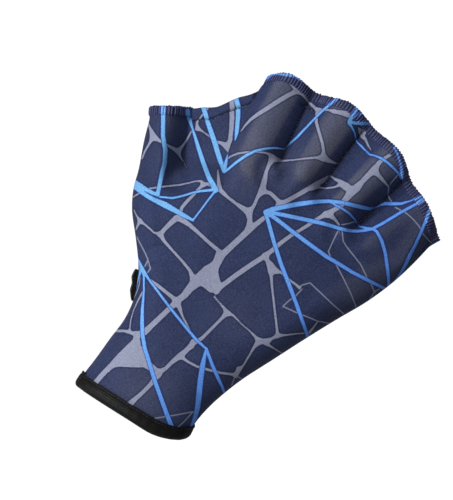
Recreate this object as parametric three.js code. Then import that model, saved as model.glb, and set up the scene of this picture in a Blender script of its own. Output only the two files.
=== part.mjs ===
// A webbed swim glove for the right hand, in the shape it has when worn.
// Millimetres. +Z runs from the wrist to the fingers, -Y is the back of the hand, +X is the
// little finger's side. The origin is the middle of the wrist opening.
//
// Two neoprene panels face each other across a middle surface. Both are worked out on one
// grid: across runs from the thumb side to the little finger's side, along runs from the cuff
// to the finger edge. The flat webs between the fingers are where the panels lie together.
import * as THREE from 'three';

// Driving dimensions.
const gloveLength = 172.7;      // cuff edge to the top of the middle finger's hem
const gloveSpan = 147.3;        // thumb hem's outer corner to the little finger hem's corner
const wristWidth = 56;
const wristDepth = 38;
const wall = 2;                 // neoprene with jersey on both faces
const seamGap = 0.3;            // between pieces that are sewn together
const hemWidth = 5.5;           // overlocked edge of the thumb and finger mouths
const hemSwell = 0.4;           // how far the overlocked edge stands over the panel
const foldDepth = 6.2;          // folded hem on the web between thumb and index finger
const foldThickness = 0.8;
const bindingHeight = 5.2;      // black tape round the wrist opening
const bindingThickness = 0.8;
const strapWidth = 15;          // black wrist strap across the heel of the palm
const strapThickness = 2.2;
const strapHeight = 52.5;       // middle of the strap above the cuff edge
const strapEnd = 3;             // how far the strap's end stands past the thumb-side edge
const strapLobes = [0.55, 0.95, 0.6, 1, 0.5];   // shares of strapEnd, from its lower edge up
const thumbDepth = 21;          // outside depth of the thumb tube at its mouth
const fingerDepth = 20;         // outside depth of the finger tubes at their mouths
const palmDepth = 31;           // outside depth across the middle of the hand
const thumbForward = 8;         // how far the thumb lies towards the palm

// How far the thumb's and the little finger's corners stand out past the wrist.
const thumbReach = 0.332 * (gloveSpan - wristWidth);
const littleReach = 0.668 * (gloveSpan - wristWidth);

// Outline of the two sides: up is a share of gloveLength, and out a share of that side's reach
// that is added to half the wrist's width.
const thumbSide = [
  { up: 0.000, out: 0.000 },
  { up: 0.035, out: -0.010 },
  { up: 0.081, out: -0.058 },
  { up: 0.145, out: -0.112 },
  { up: 0.208, out: -0.170 },
  { up: 0.261, out: -0.204 },
  { up: 0.305, out: -0.126 },
  { up: 0.353, out: 0.019 },
  { up: 0.410, out: 0.238 },
  { up: 0.475, out: 0.476 },
  { up: 0.527, out: 0.612 },
  { up: 0.579, out: 0.685 },
  { up: 0.654, out: 0.820 },
];
const littleSide = [
  { up: 0.000, out: 0.000 },
  { up: 0.035, out: 0.000 },
  { up: 0.069, out: 0.012 },
  { up: 0.127, out: 0.053 },
  { up: 0.204, out: 0.145 },
  { up: 0.290, out: 0.283 },
  { up: 0.375, out: 0.420 },
  { up: 0.461, out: 0.565 },
  { up: 0.552, out: 0.727 },
  { up: 0.631, out: 0.836 },
  { up: 0.705, out: 0.911 },
];

// The upper edge, from the thumb's corner to the little finger's. side is a share of gloveSpan
// from the thumb's corner, up a share of gloveLength, lean the tilt of the finger there in
// degrees, at the place on the grid, and edge what finishes the panels there.
const upperEdge = [
  { name: 'thumb_corner', side: 0.000, up: 0.745, lean: -26, at: 0.000, edge: 'hem' },
  { name: 'thumb_end', side: 0.118, up: 0.795, lean: -26, at: 0.112, edge: 'hem' },
  { name: 'fold_start', side: 0.132, up: 0.795, lean: -28, at: 0.130, edge: 'fold' },
  { name: 'fold_low', side: 0.185, up: 0.822, lean: -28, at: 0.175, edge: 'fold' },
  { name: 'fold_high', side: 0.231, up: 0.866, lean: -27, at: 0.225, edge: 'fold' },
  { name: 'fold_end', side: 0.271, up: 0.907, lean: -10, at: 0.275, edge: 'fold' },
  { name: 'index_corner', side: 0.284, up: 0.966, lean: 0, at: 0.305, edge: 'hem' },
  { name: 'index', side: 0.345, up: 0.991, lean: -1, at: 0.365, edge: 'hem' },
  { name: 'index_middle', side: 0.454, up: 0.987, lean: 2, at: 0.465, edge: 'hem' },
  { name: 'middle', side: 0.555, up: 1.000, lean: 5, at: 0.560, edge: 'hem' },
  { name: 'middle_ring', side: 0.666, up: 0.966, lean: 12, at: 0.665, edge: 'hem' },
  { name: 'ring', side: 0.768, up: 0.943, lean: 15, at: 0.755, edge: 'hem' },
  { name: 'ring_little', side: 0.844, up: 0.889, lean: 20, at: 0.830, edge: 'hem' },
  { name: 'little', side: 0.919, up: 0.860, lean: 25, at: 0.910, edge: 'hem' },
  { name: 'little_corner', side: 1.000, up: 0.787, lean: 32, at: 1.000, edge: 'hem' },
];

// The flat webs widen towards the upper edge. The foot is a short line of footWidth that rises
// by footRise, as shares of gloveSpan and gloveLength from the thumb's corner. from and to are
// places on the grid at the upper edge. slope is the breadth over which the cloth rises to the
// fingers beside the web and fade the length over which the web sinks in, both as shares of
// fingerDepth.
const webs = [
  { name: 'thumb_index', footSide: 0.205, footUp: 0.595, footWidth: 0.087, footRise: 0.055,
    from: 0.108, to: 0.285, slope: 0.475, fade: 0.80 },
  { name: 'index_middle', footSide: 0.443, footUp: 0.735, footWidth: 0.006, footRise: 0,
    from: 0.438, to: 0.492, slope: 0.400, fade: 0.90 },
  { name: 'middle_ring', footSide: 0.582, footUp: 0.705, footWidth: 0.006, footRise: 0,
    from: 0.628, to: 0.692, slope: 0.400, fade: 0.90 },
  { name: 'ring_little', footSide: 0.722, footUp: 0.672, footWidth: 0.006, footRise: 0,
    from: 0.805, to: 0.858, slope: 0.360, fade: 0.90 },
  { name: 'little_edge', footSide: 0.955, footUp: 0.650, footWidth: 0.020, footRise: -0.02,
    from: 0.958, to: 1.060, slope: 0.300, fade: 0.80 },
];

// Swellings of the palm: side and up as above, breadth a share of gloveSpan, rise a share of
// palmDepth.
const palmSwellings = [
  { name: 'thumb_ball', side: 0.225, up: 0.440, breadth: 0.125, rise: 0.20 },
  { name: 'little_ball', side: 0.690, up: 0.390, breadth: 0.125, rise: 0.12 },
  { name: 'hollow', side: 0.480, up: 0.500, breadth: 0.120, rise: -0.14 },
  { name: 'finger_roots', side: 0.600, up: 0.680, breadth: 0.140, rise: 0.08 },
];

// Fineness of the faceted walls: columns between named places, and rows.
const thumbColumns = 6;
const foldColumns = 5;
const fingerColumns = 27;
const panelRows = 17;
const strapColumns = 18;

const radians = Math.PI / 180;
const clamp01 = (t) => Math.min(1, Math.max(0, t));
const smooth = (from, to, t) => {
  const s = clamp01((t - from) / (to - from));
  return s * s * (3 - 2 * s);
};
const mix = (a, b, t) => a + (b - a) * t;

const webThickness = wall + seamGap / 2;   // one panel and half the seam, from the middle
const cornerX = -(wristWidth / 2 + thumbReach);

// A point of the outline plane, as a three.js vector with x across and y up.
const flat = (x, z) => new THREE.Vector3(x, z, 0);
const stationPoint = (side, up) => flat(cornerX + side * gloveSpan, up * gloveLength);

// Where the panels stop under the edge's own finish.
function edgeInset(row) {
  return row.edge === 'hem' ? hemWidth + seamGap : foldThickness + seamGap;
}

function leanOf(degrees) {
  return flat(Math.sin(degrees * radians), Math.cos(degrees * radians));
}

function panelStation(row) {
  return stationPoint(row.side, row.up).addScaledVector(leanOf(row.lean), -edgeInset(row));
}

const smoothCurve = (points) => new THREE.CatmullRomCurve3(points, false, 'centripetal');
const panelFoot = bindingThickness + seamGap;   // the panels stand in the binding's channel

function sideCurve(rows, sign, reach, last) {
  const points = rows.map((row, i) => flat(
    sign * (wristWidth / 2 + row.out * reach),
    i === 0 ? panelFoot : row.up * gloveLength,
  ));
  return smoothCurve([...points, last]);
}

const edgeCurve = smoothCurve(upperEdge.map(panelStation));
const leftCurve = sideCurve(thumbSide, -1, thumbReach, panelStation(upperEdge[0]));
const littleCorner = panelStation(upperEdge[upperEdge.length - 1]);
const rightCurve = sideCurve(littleSide, 1, littleReach, littleCorner);

// Which pair of upperEdge rows a place on the grid lies between, and how far along.
function edgeSpan(across) {
  const last = upperEdge.length - 2;
  let i = 0;
  while (i < last && across > upperEdge[i + 1].at) i += 1;
  const share = (across - upperEdge[i].at) / (upperEdge[i + 1].at - upperEdge[i].at);
  return { i, share: clamp01(share) };
}

function edgePoint(across) {
  const { i, share } = edgeSpan(across);
  return edgeCurve.getPoint((i + share) / (upperEdge.length - 1));
}

function edgeLean(across) {
  const { i, share } = edgeSpan(across);
  return leanOf(mix(upperEdge[i].lean, upperEdge[i + 1].lean, share));
}

const placeOf = (name) => upperEdge.find((row) => row.name === name).at;

// The grid fills the outline as a patch blended from its four sides. Past along = 1 it goes on
// straight, in millimetres, under the hems.
function planPoint(across, along, beyond = 0) {
  const foot = flat(mix(-0.5, 0.5, across) * wristWidth, panelFoot);
  const top = edgePoint(across);
  const left = leftCurve.getPointAt(along);
  const right = rightCurve.getPointAt(along);
  const corners = [
    leftCurve.getPoint(0), rightCurve.getPoint(0), leftCurve.getPoint(1), rightCurve.getPoint(1),
  ];
  const point = foot.multiplyScalar(1 - along).addScaledVector(top, along)
    .addScaledVector(left, 1 - across).addScaledVector(right, across)
    .addScaledVector(corners[0], -(1 - across) * (1 - along))
    .addScaledVector(corners[1], -across * (1 - along))
    .addScaledVector(corners[2], -(1 - across) * along)
    .addScaledVector(corners[3], -across * along);
  return point.addScaledVector(edgeLean(across), beyond);
}

function distanceToSegment(p, a, b) {
  const line = b.clone().sub(a);
  const t = clamp01(p.clone().sub(a).dot(line) / line.lengthSq());
  return p.distanceTo(a.clone().addScaledVector(line, t));
}

// Zero inside the patch, else the distance to its nearest side.
function distanceToPatch(p, corners) {
  let inside = true;
  let nearest = Infinity;
  corners.forEach((a, i) => {
    const b = corners[(i + 1) % corners.length];
    if (b.clone().sub(a).cross(p.clone().sub(a)).z > 0) inside = false;
    nearest = Math.min(nearest, distanceToSegment(p, a, b));
  });
  return inside ? 0 : nearest;
}

const webReach = 2 * hemWidth;   // the patches run on past the edge
function webCorner(across) {
  const inside = clamp01(across);
  const outwards = (across - inside) * gloveSpan;
  return edgePoint(inside).addScaledVector(edgeLean(inside), webReach).add(flat(outwards, 0));
}
const webPatches = webs.map((web) => {
  const foot = stationPoint(web.footSide, web.footUp);
  const otherFoot = stationPoint(web.footSide + web.footWidth, web.footUp + web.footRise);
  return { ...web, corners: [foot, webCorner(web.from), webCorner(web.to), otherFoot] };
});
// 0 on the flat webs, 1 on the fingers and the hand.
function fullness(p) {
  return webPatches.reduce((share, { corners, slope, fade }) => {
    const t = clamp01(distanceToPatch(p, corners) / (slope * fingerDepth));
    const sunk = smooth(0, fade * fingerDepth, distanceToSegment(p, corners[0], corners[3]));
    return share * (1 - sunk * (1 - Math.sin(t * Math.PI / 2) ** 1.25));
  }, 1);
}

// Height of an ellipse's quarter, 0 at its end and 1 from its radius on.
const roundEnd = (distance, radius) => Math.sqrt(1 - (1 - clamp01(distance / radius)) ** 2);

const indexSide = [edgePoint(placeOf('fold_end')), edgePoint(placeOf('index_corner'))
  .addScaledVector(edgeLean(placeOf('index_corner')), webReach)];

// 0 where the two panels lie flat together, 1 where they stand apart at their full height. The
// index finger's tube also has a free round side above the thumb's web.
function rise(across, p) {
  const besideIndex = across > placeOf('fold_end') && across < placeOf('index_middle');
  const side = besideIndex
    ? roundEnd(distanceToSegment(p, indexSide[0], indexSide[1]), fingerDepth / 2.4) : 1;
  return fullness(p) * side;
}

// Distance of a panel's outer face from the middle surface. palm is true for the palm's panel.
function outerHeight(across, along, beyond, palm) {
  const p = planPoint(across, along, beyond);
  const body = mix(wristDepth / 2, palmDepth / 2, smooth(0, 0.6, along));
  const tube = mix(fingerDepth / 2, thumbDepth / 2, 1 - smooth(0.1, 0.35, across));
  let height = mix(body, tube, smooth(0.5, 1, along)) * (palm ? 1.06 : 0.96);
  if (palm) {
    for (const s of palmSwellings) {
      const far = p.distanceTo(stationPoint(s.side, s.up)) / (s.breadth * gloveSpan);
      height += s.rise * palmDepth * Math.exp(-far * far) * smooth(0, 0.25, along);
    }
  }
  const web = rise(across, p);
  const full = webThickness + (height - webThickness) * web;
  const leftRadius = mix(wristWidth / 2, thumbDepth / 2, smooth(0, 0.55, along));
  const rightRadius = mix(
    mix(wristWidth / 2, palmDepth / 2.2, smooth(0, 0.5, along)),
    webThickness,
    smooth(0.72, 0.98, along),
  );
  const fromLeft = p.distanceTo(planPoint(0, along, beyond));
  const fromRight = p.distanceTo(planPoint(1, along, beyond));
  const ends = roundEnd(fromLeft, leftRadius) * roundEnd(fromRight, rightRadius);
  return Math.max(full * ends, seamGap / 2);
}

// Depth of the middle surface: the thumb and the finger tips lie towards the palm.
function middleDepth(across, along) {
  const thumb = thumbForward * (1 - smooth(0, 0.33, across)) * smooth(0.3, 0.9, along);
  const tips = 0.5 * thumbForward * smooth(0.6, 1, along) ** 2;
  const little = 0.35 * thumbForward * smooth(0.7, 1, across) * smooth(0.4, 0.9, along);
  return thumb + tips + little;
}

function surfacePoint(across, along, beyond, palm, height) {
  const p = planPoint(across, along, beyond);
  const y = middleDepth(across, along) + (palm ? height : -height);
  return new THREE.Vector3(p.x, y, p.y);
}

const outerPoint = (across, along, beyond, palm) =>
  surfacePoint(across, along, beyond, palm, outerHeight(across, along, beyond, palm));

// Outward direction of a panel's outer face. At the cuff and at the upper edge it is level
// with that edge, so the wall ends squarely there.
function outward(across, along, beyond, palm) {
  const step = 0.004;
  const low = Math.max(0, along - step);
  const high = Math.min(1, along + step);
  const further = along + step > 1 ? 0.5 : 0;
  const lean = edgeLean(across);
  const ends = [
    { share: smooth(0.9, 1, along), axis: new THREE.Vector3(lean.x, 0, lean.y) },
    { share: smooth(0.1, 0, along), axis: new THREE.Vector3(0, 0, 1) },
  ];
  let normal;
  if (across <= 0 || across >= 1) {
    const up = surfacePoint(across, high, beyond + further, palm, 0)
      .sub(surfacePoint(across, low, beyond, palm, 0));
    normal = new THREE.Vector3(up.z, 0, -up.x).multiplyScalar(across <= 0 ? -1 : 1);
  } else {
    const sideways = outerPoint(Math.min(1, across + step), along, beyond, palm)
      .sub(outerPoint(Math.max(0, across - step), along, beyond, palm));
    const lengthways = outerPoint(across, high, beyond + further, palm)
      .sub(outerPoint(across, low, beyond, palm));
    normal = sideways.cross(lengthways).normalize();
    if (palm !== normal.y > 0) normal.negate();
    const straight = new THREE.Vector3(0, palm ? 1 : -1, 0);
    normal.lerp(straight, smooth(0.6, 0, rise(across, planPoint(across, along, beyond))));
  }
  normal.normalize();
  for (const { share, axis } of ends) {
    normal.addScaledVector(axis, -share * normal.dot(axis));
  }
  return normal.normalize();
}

// A point off the panel's outer face, outwards if offset is positive. Inwards it stops short of
// the middle surface, where the other panel lies, even where the way there leads sideways.
function offsetPoint(across, along, beyond, palm, offset) {
  const height = outerHeight(across, along, beyond, palm);
  const normal = outward(across, along, beyond, palm);
  const least = seamGap / 2;
  const inwards = -offset * Math.abs(normal.y);
  const share = inwards > height - least ? (height - least) / inwards : 1;
  const start = surfacePoint(across, along, beyond, palm, height);
  const point = start.clone().addScaledVector(normal, offset * share);
  const breadth = planPoint(1, along).distanceTo(planPoint(0, along));
  const middle = middleDepth(clamp01(across + (point.x - start.x) / breadth), along);
  point.y = palm ? Math.max(point.y, middle + least) : Math.min(point.y, middle - least);
  return point;
}

// A closed wall between two grids of points that match, outer[i][j] and inner[i][j]. With
// loop, the last column joins the first.
function wallGeometry(outer, inner, loop = false) {
  const breadth = outer.length;
  const rows = outer[0].length;
  const vertices = [...outer.flat(), ...inner.flat()];
  const id = (layer, i, j) => (layer * breadth + (i % breadth)) * rows + j;
  const index = [];
  const quad = (a, b, c, d) => index.push(a, b, c, a, c, d);
  const strips = loop ? breadth : breadth - 1;
  for (let i = 0; i < strips; i += 1) {
    for (let j = 0; j < rows - 1; j += 1) {
      quad(id(0, i, j), id(0, i + 1, j), id(0, i + 1, j + 1), id(0, i, j + 1));
      quad(id(1, i, j), id(1, i, j + 1), id(1, i + 1, j + 1), id(1, i + 1, j));
    }
    quad(id(0, i, 0), id(1, i, 0), id(1, i + 1, 0), id(0, i + 1, 0));
    const top = rows - 1;
    quad(id(0, i, top), id(0, i + 1, top), id(1, i + 1, top), id(1, i, top));
  }
  if (!loop) {
    for (let j = 0; j < rows - 1; j += 1) {
      const end = breadth - 1;
      quad(id(0, 0, j), id(0, 0, j + 1), id(1, 0, j + 1), id(1, 0, j));
      quad(id(0, end, j), id(1, end, j), id(1, end, j + 1), id(0, end, j + 1));
    }
  }
  let volume = 0;
  for (let k = 0; k < index.length; k += 3) {
    const [a, b, c] = [0, 1, 2].map((n) => vertices[index[k + n]]);
    volume += a.dot(b.clone().cross(c));
  }
  if (volume < 0) {
    for (let k = 0; k < index.length; k += 3) [index[k], index[k + 1]] = [index[k + 1], index[k]];
  }
  const geometry = new THREE.BufferGeometry().setFromPoints(vertices);
  geometry.setIndex(index);
  geometry.computeVertexNormals();
  return geometry;
}

const steps = (count, from = 0, to = 1) =>
  Array.from({ length: count + 1 }, (_, i) => mix(from, to, i / count));

// Places across the grid that every piece shares, so that their facets lie over one another.
// They are closer together at both ends, where the sides are round.
const columns = [
  ...steps(thumbColumns).map((t) => placeOf('thumb_end') * t ** 1.3),
  ...steps(foldColumns, placeOf('fold_start'), placeOf('fold_end')),
  mix(placeOf('fold_end'), placeOf('index_corner'), 0.5),
  ...steps(fingerColumns).map((t) => mix(1, placeOf('index_corner'), (1 - t) ** 1.12)),
];
const columnsBetween = (from, to) => columns.filter((at) => at >= from - 1e-9 && at <= to + 1e-9);

// Rows from the cuff up, closer together under the upper edge.
const rows = steps(panelRows).map((t) => t + 0.12 * t * (1 - t));

function panelGeometry(palm) {
  const layer = (offset) => columns.map((across) => rows.map((along) => (
    offset === 0 ? outerPoint(across, along, 0, palm) : offsetPoint(across, along, 0, palm, offset)
  )));
  return wallGeometry(layer(0), layer(-wall));
}

// Places in order for a ring: over the back one way, then over the palm the other way.
const roundTrip = (places) => [
  ...places.map((across) => ({ across, palm: false })),
  ...places.slice().reverse().map((across) => ({ across, palm: true })),
];

// An overlocked hem: a ring that goes over the back from one place to another and returns over
// the palm. Its inside starts and ends a wall's thickness further in.
function hemGeometry(from, to) {
  const places = columnsBetween(from, to);
  const breadth = edgePoint(from).distanceTo(edgePoint(to));
  const inset = wall / breadth * (to - from);
  const inner = places.map((at) => at + inset * smooth(3 * inset, 0, at - from)
    - inset * smooth(3 * inset, 0, to - at));
  const rows = [0, 0.5, 1].map((t) => ({
    beyond: mix(1.5 * seamGap, seamGap + hemWidth, t),
    swell: t === 0.5 ? 1.4 * hemSwell : hemSwell,
  }));
  const last = to < 1 ? to - 0.35 * inset : to;
  const outside = roundTrip([...places.slice(0, -1), last]).map(({ across, palm }) => rows.map(({ beyond, swell }) => (
    offsetPoint(across, 1, beyond, palm, swell)
  )));
  const inside = roundTrip(inner).map(({ across, palm }) => rows.map(({ beyond }) => (
    offsetPoint(across, 1, beyond, palm, -wall)
  )));
  return wallGeometry(outside, inside, true);
}

// The place on the grid that lies a distance below the upper edge.
function alongBelow(across, distance) {
  const length = planPoint(across, 1).distanceTo(planPoint(across, 0.95)) / 0.05;
  return 1 - distance / length;
}

// The folded hem on the thumb's web: a strip bent over the edge of both panels.
function foldGeometry() {
  const places = columnsBetween(placeOf('fold_start'), placeOf('fold_end'));
  const crown = seamGap + foldThickness;
  const leg = (palm, across, skin) => [foldDepth - crown, foldDepth / 2, 0].map((distance) => {
    const along = alongBelow(across, distance);
    const point = outerPoint(across, along, 0, palm);
    point.y += (palm ? 1 : -1) * (2 * seamGap + skin);
    return point;
  });
  const top = (across, share, beyond) =>
    surfacePoint(across, 1, beyond, share > 0, Math.abs(share) * webThickness);
  const path = (skin) => places.map((across) => [
    ...leg(false, across, skin),
    top(across, skin > 0 ? -0.8 : -1.1, 1.5 * seamGap + skin),
    top(across, skin > 0 ? 0.8 : 1.1, 1.5 * seamGap + skin),
    ...leg(true, across, skin).reverse(),
  ]);
  return wallGeometry(path(foldThickness), path(0));
}

// The black tape folded over the panels' lower edge, a ring with a channel in it.
function bindingGeometry() {
  const slack = 1.8 * seamGap;
  const path = (skin) => [
    { z: bindingHeight, off: slack + skin },
    { z: bindingThickness - skin, off: slack + skin },
    { z: bindingThickness - skin, off: -wall - slack - skin },
    { z: bindingHeight, off: -wall - slack - skin },
  ];
  const layer = (skin) => roundTrip(columns).map(({ across, palm }) => path(skin).map(
    ({ z, off }) => {
      const along = z > panelFoot ? (z - panelFoot) / planLength(across) : 0;
      const point = outerPoint(across, along, 0, palm)
        .addScaledVector(outward(across, 0, 0, palm), off);
      return point.setZ(z);
    },
  ));
  return wallGeometry(layer(bindingThickness), layer(0), true);
}

// Height gained from the cuff to the upper edge, per whole step along the grid.
function planLength(across) {
  return (planPoint(across, 0.05).y - planPoint(across, 0).y) / 0.05;
}

// The place on the grid over a point of the outline plane.
function gridPlace(x, z) {
  let across = 0.5;
  let along = z / gloveLength;
  for (let turn = 0; turn < 40; turn += 1) {
    const p = planPoint(clamp01(across), clamp01(along));
    across += (x - p.x) / gloveSpan / 0.6;
    along += (z - p.y) / gloveLength;
  }
  return { across: clamp01(across), along: clamp01(along) };
}

// The wrist strap lies on the palm's panel. Its end leaves the panel at the thumb's side and
// stands past the edge in two soft lobes.
function strapGeometry() {
  const heights = steps(4, strapHeight - strapWidth / 2, strapHeight + strapWidth / 2);
  const gap = 2 * seamGap;
  const layer = (offset) => steps(strapColumns + 2).map((_, i) => heights.map((z, j) => {
    const edge = planPoint(0, gridPlace(-wristWidth, z).along).x;
    const start = planPoint(1, gridPlace(2 * wristWidth, z).along).x - wall;
    const lobe = strapLobes[j] * strapEnd;
    const onPanel = Math.min(i, strapColumns) / strapColumns;
    const x = mix(start, edge + 1.8 * strapThickness, onPanel - 0.1 * Math.sin(2 * Math.PI * onPanel));
    const { across, along } = gridPlace(x, z);
    const point = outerPoint(across, along, 0, true)
      .addScaledVector(outward(across, along, 0, true), gap + offset);
    if (i <= strapColumns) return point;
    const end = new THREE.Vector3(edge - lobe, middleDepth(0, along) + 2.4 * strapThickness, z);
    const lift = new THREE.Vector3(-0.35, 1, 0).normalize().multiplyScalar(offset);
    const half = point.clone().lerp(end.clone().add(lift), 0.5);
    half.y += 0.35 * strapThickness;
    return i === strapColumns + 1 ? half : end.add(lift);
  }));
  return wallGeometry(layer(strapThickness), layer(0));
}

const navy = { color: 0x2a3050, roughness: 0.85, metalness: 0 };
const black = { color: 0x1c1c1e, roughness: 0.9, metalness: 0 };
const thread = { color: 0x1e2a5c, roughness: 0.8, metalness: 0 };

const glove = new THREE.Group();
function addPiece(name, geometry, finish) {
  const mesh = new THREE.Mesh(geometry, new THREE.MeshStandardMaterial(finish));
  mesh.name = name;
  glove.add(mesh);
}

addPiece('back_panel', panelGeometry(false), navy);
addPiece('palm_panel', panelGeometry(true), black);
addPiece('finger_hem', hemGeometry(placeOf('index_corner'), 1), thread);
addPiece('thumb_hem', hemGeometry(0, placeOf('thumb_end')), thread);
addPiece('web_fold', foldGeometry(), navy);
addPiece('cuff_binding', bindingGeometry(), black);
addPiece('wrist_strap', strapGeometry(), black);

export default glove;
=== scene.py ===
import bpy
import math
import numpy as np
from mathutils import Matrix, Vector


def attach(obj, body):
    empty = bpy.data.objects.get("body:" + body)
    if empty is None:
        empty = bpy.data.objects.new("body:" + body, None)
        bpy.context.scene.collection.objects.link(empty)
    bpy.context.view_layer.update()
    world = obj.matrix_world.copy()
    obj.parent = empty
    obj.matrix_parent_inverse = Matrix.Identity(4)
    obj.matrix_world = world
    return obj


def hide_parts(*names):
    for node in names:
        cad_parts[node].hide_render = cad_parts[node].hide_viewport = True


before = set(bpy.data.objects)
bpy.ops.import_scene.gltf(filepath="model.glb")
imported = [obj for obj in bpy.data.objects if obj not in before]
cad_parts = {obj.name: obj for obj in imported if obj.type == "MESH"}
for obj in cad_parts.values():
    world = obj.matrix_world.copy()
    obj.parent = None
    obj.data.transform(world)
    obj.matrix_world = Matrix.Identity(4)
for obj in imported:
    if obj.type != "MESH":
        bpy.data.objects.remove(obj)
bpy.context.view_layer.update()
print("frame loaded")

# Lengths are in millimetres until a mesh is written. x runs to the little finger's side,
# z to the fingers, and -y is the back of the hand.
glove = {
    "length": 172.7, "span": 147.3,
    "wristWidth": 56.0, "wristDepth": 38.0,
    "wall": 2.0, "seam": 0.06,              # cloth thickness, and the slit between two panels
    "hemWidth": 5.5, "foldInset": 1.1,
    "foot": 1.1,                            # height where the panels start, inside the tape
    "thumbDepth": 21.0, "fingerDepth": 20.0, "palmDepth": 31.0, "thumbForward": 8.0,
    "run": 150.0,                           # millimetres per unit of t past the upper edge
}
reach = {"thumb": 0.332 * (glove["span"] - glove["wristWidth"]),
         "little": 0.668 * (glove["span"] - glove["wristWidth"])}
cornerX = -(glove["wristWidth"] / 2 + reach["thumb"])

# Up the two sides: height as a share of the length, and a share of that side's reach
thumbSide = [(0, 0), (.035, -.010), (.081, -.058), (.145, -.112), (.208, -.170), (.261, -.158),
             (.305, -.096), (.353, .025), (.410, .238), (.475, .500), (.527, .632), (.579, .700),
             (.654, .832)]
littleSide = [(0, 0), (.035, 0), (.069, .016), (.127, .062), (.204, .155), (.290, .293),
              (.375, .431), (.461, .577), (.552, .739), (.631, .848), (.705, .923)]

# Along the upper edge: across, sideways and upward shares, the finger's lean in degrees, and
# whether a hem or the fold finishes the cloth there
upperEdge = [
    (.000, .000, .745, -26, "hem"), (.112, .118, .795, -26, "hem"),
    (.124, .124, .793, -28, "fold"), (.150, .153, .806, -28, "fold"), (.175, .183, .820, -28, "fold"),
    (.225, .231, .866, -27, "fold"), (.275, .275, .905, -10, "fold"),
    (.305, .291, .964, 0, "hem"), (.365, .345, .990, -1, "hem"), (.465, .454, .981, 2, "hem"),
    (.560, .555, .996, 5, "hem"), (.665, .666, .966, 12, "hem"), (.755, .768, .939, 15, "hem"),
    (.830, .844, .886, 20, "hem"), (.910, .917, .852, 25, "hem"), (1.00, 1.006, .785, 32, "hem"),
]
# Flat webs: foot sideways and up, foot width and rise, from and to across, slope and fade
webs = [
    (.196, .611, .100, .036, .112, .285, .520, .46),
    (.443, .735, .006, .000, .442, .486, .580, .45),
    (.582, .712, .006, .000, .634, .684, .580, .50),
    (.722, .672, .006, .000, .811, .852, .520, .60),
    (.955, .650, .020, -.02, .958, 1.06, .300, .80),
]
# Swellings of the palm: sideways, up, breadth and rise
palmSwellings = [(.225, .440, .125, .20), (.690, .390, .125, .12), (.480, .500, .120, -.14),
                 (.600, .680, .140, .08)]


# Hermite step: 0 below the first value, 1 above the second, level at both
def ease(low, high, value):
    s = np.clip((value - low) / (high - low), 0, 1)
    return s * s * (3 - 2 * s)


# Quarter ellipse: 0 at distance 0, 1 from the radius on
def roundEnd(distance, radius):
    return np.sqrt(1 - (1 - np.clip(distance / radius, 0, 1)) ** 2)


# A point of the outline plane, from a share of the span and a share of the length
def stationPoint(side, up):
    return np.array([cornerX + side * glove["span"], up * glove["length"]])


# The unit direction that leans so many degrees from straight up
def leanOf(degrees):
    angle = np.radians(degrees)
    return np.stack([np.sin(angle), np.cos(angle)], -1)


# A curve through points: each piece is a cubic whose end slopes come from the points beside it,
# weighted by the root of their distances
def smoothCurve(points, count=80):
    p = np.array(points, float)
    p = np.vstack([2 * p[0] - p[1], p, 2 * p[-1] - p[-2]])
    d = np.linalg.norm(np.diff(p, axis=0), axis=1) ** 0.5
    a, b, c, e = p[:-3, None], p[1:-2, None], p[2:-1, None], p[3:, None]
    d0, d1, d2 = d[:-2, None, None], d[1:-1, None, None], d[2:, None, None]
    m1 = d1 * ((b - a) / d0 - (c - a) / (d0 + d1) + (c - b) / d1)
    m2 = d1 * ((c - b) / d1 - (e - b) / (d1 + d2) + (e - c) / d2)
    t = np.linspace(0, 1, count, endpoint=False)[None, :, None]
    q = ((2 * t ** 3 - 3 * t ** 2 + 1) * b + (t ** 3 - 2 * t ** 2 + t) * m1
         + (3 * t ** 2 - 2 * t ** 3) * c + (t ** 3 - t ** 2) * m2)
    return np.vstack([q.reshape(-1, p.shape[1]), p[-2]])


def atShare(curve, share):  # point at a share of the curve's length
    s = np.concatenate([[0], np.cumsum(np.linalg.norm(np.diff(curve, axis=0), axis=1))])
    return np.stack([np.interp(share * s[-1], s, curve[:, k]) for k in range(curve.shape[1])], -1)


# The panels' top steps up from the hem to the fold: how much is left of the step
def stepLeft(across):
    return (glove["hemWidth"] + 0.3 - glove["foldInset"]) * (1 - ease(.105, .19, across))


# A point of the upper edge, set back along its lean by the breadth of its hem or fold
def panelStation(row):
    inset = glove["hemWidth"] + 0.3 if row[4] == "hem" else glove["foldInset"] + stepLeft(row[0])
    return stationPoint(row[1], row[2]) - leanOf(row[3]) * inset


# A side of the outline: half the wrist's width plus a share of that side's reach, at each height
def sideCurve(rows, sign, far, last):
    points = [(sign * (glove["wristWidth"] / 2 + out * far), up * glove["length"] if i else glove["foot"])
              for i, (up, out) in enumerate(rows)]
    return smoothCurve(points + [tuple(last)])


edgeAt = np.array([row[0] for row in upperEdge])
edgeCurve = smoothCurve([panelStation(row) for row in upperEdge])
leftCurve = sideCurve(thumbSide, -1, reach["thumb"], panelStation(upperEdge[0]))
rightCurve = sideCurve(littleSide, 1, reach["little"], panelStation(upperEdge[-1]))


# The upper edge at a place across, read off its curve, and the finger's lean there
def edgePoint(across):
    u = np.interp(across, edgeAt, np.arange(len(edgeAt))) * 80
    knots = np.arange(len(edgeCurve))
    return np.stack([np.interp(u, knots, edgeCurve[:, k]) for k in (0, 1)], -1)


def edgeLean(across):
    return leanOf(np.interp(across, edgeAt, [row[3] for row in upperEdge]))


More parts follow.
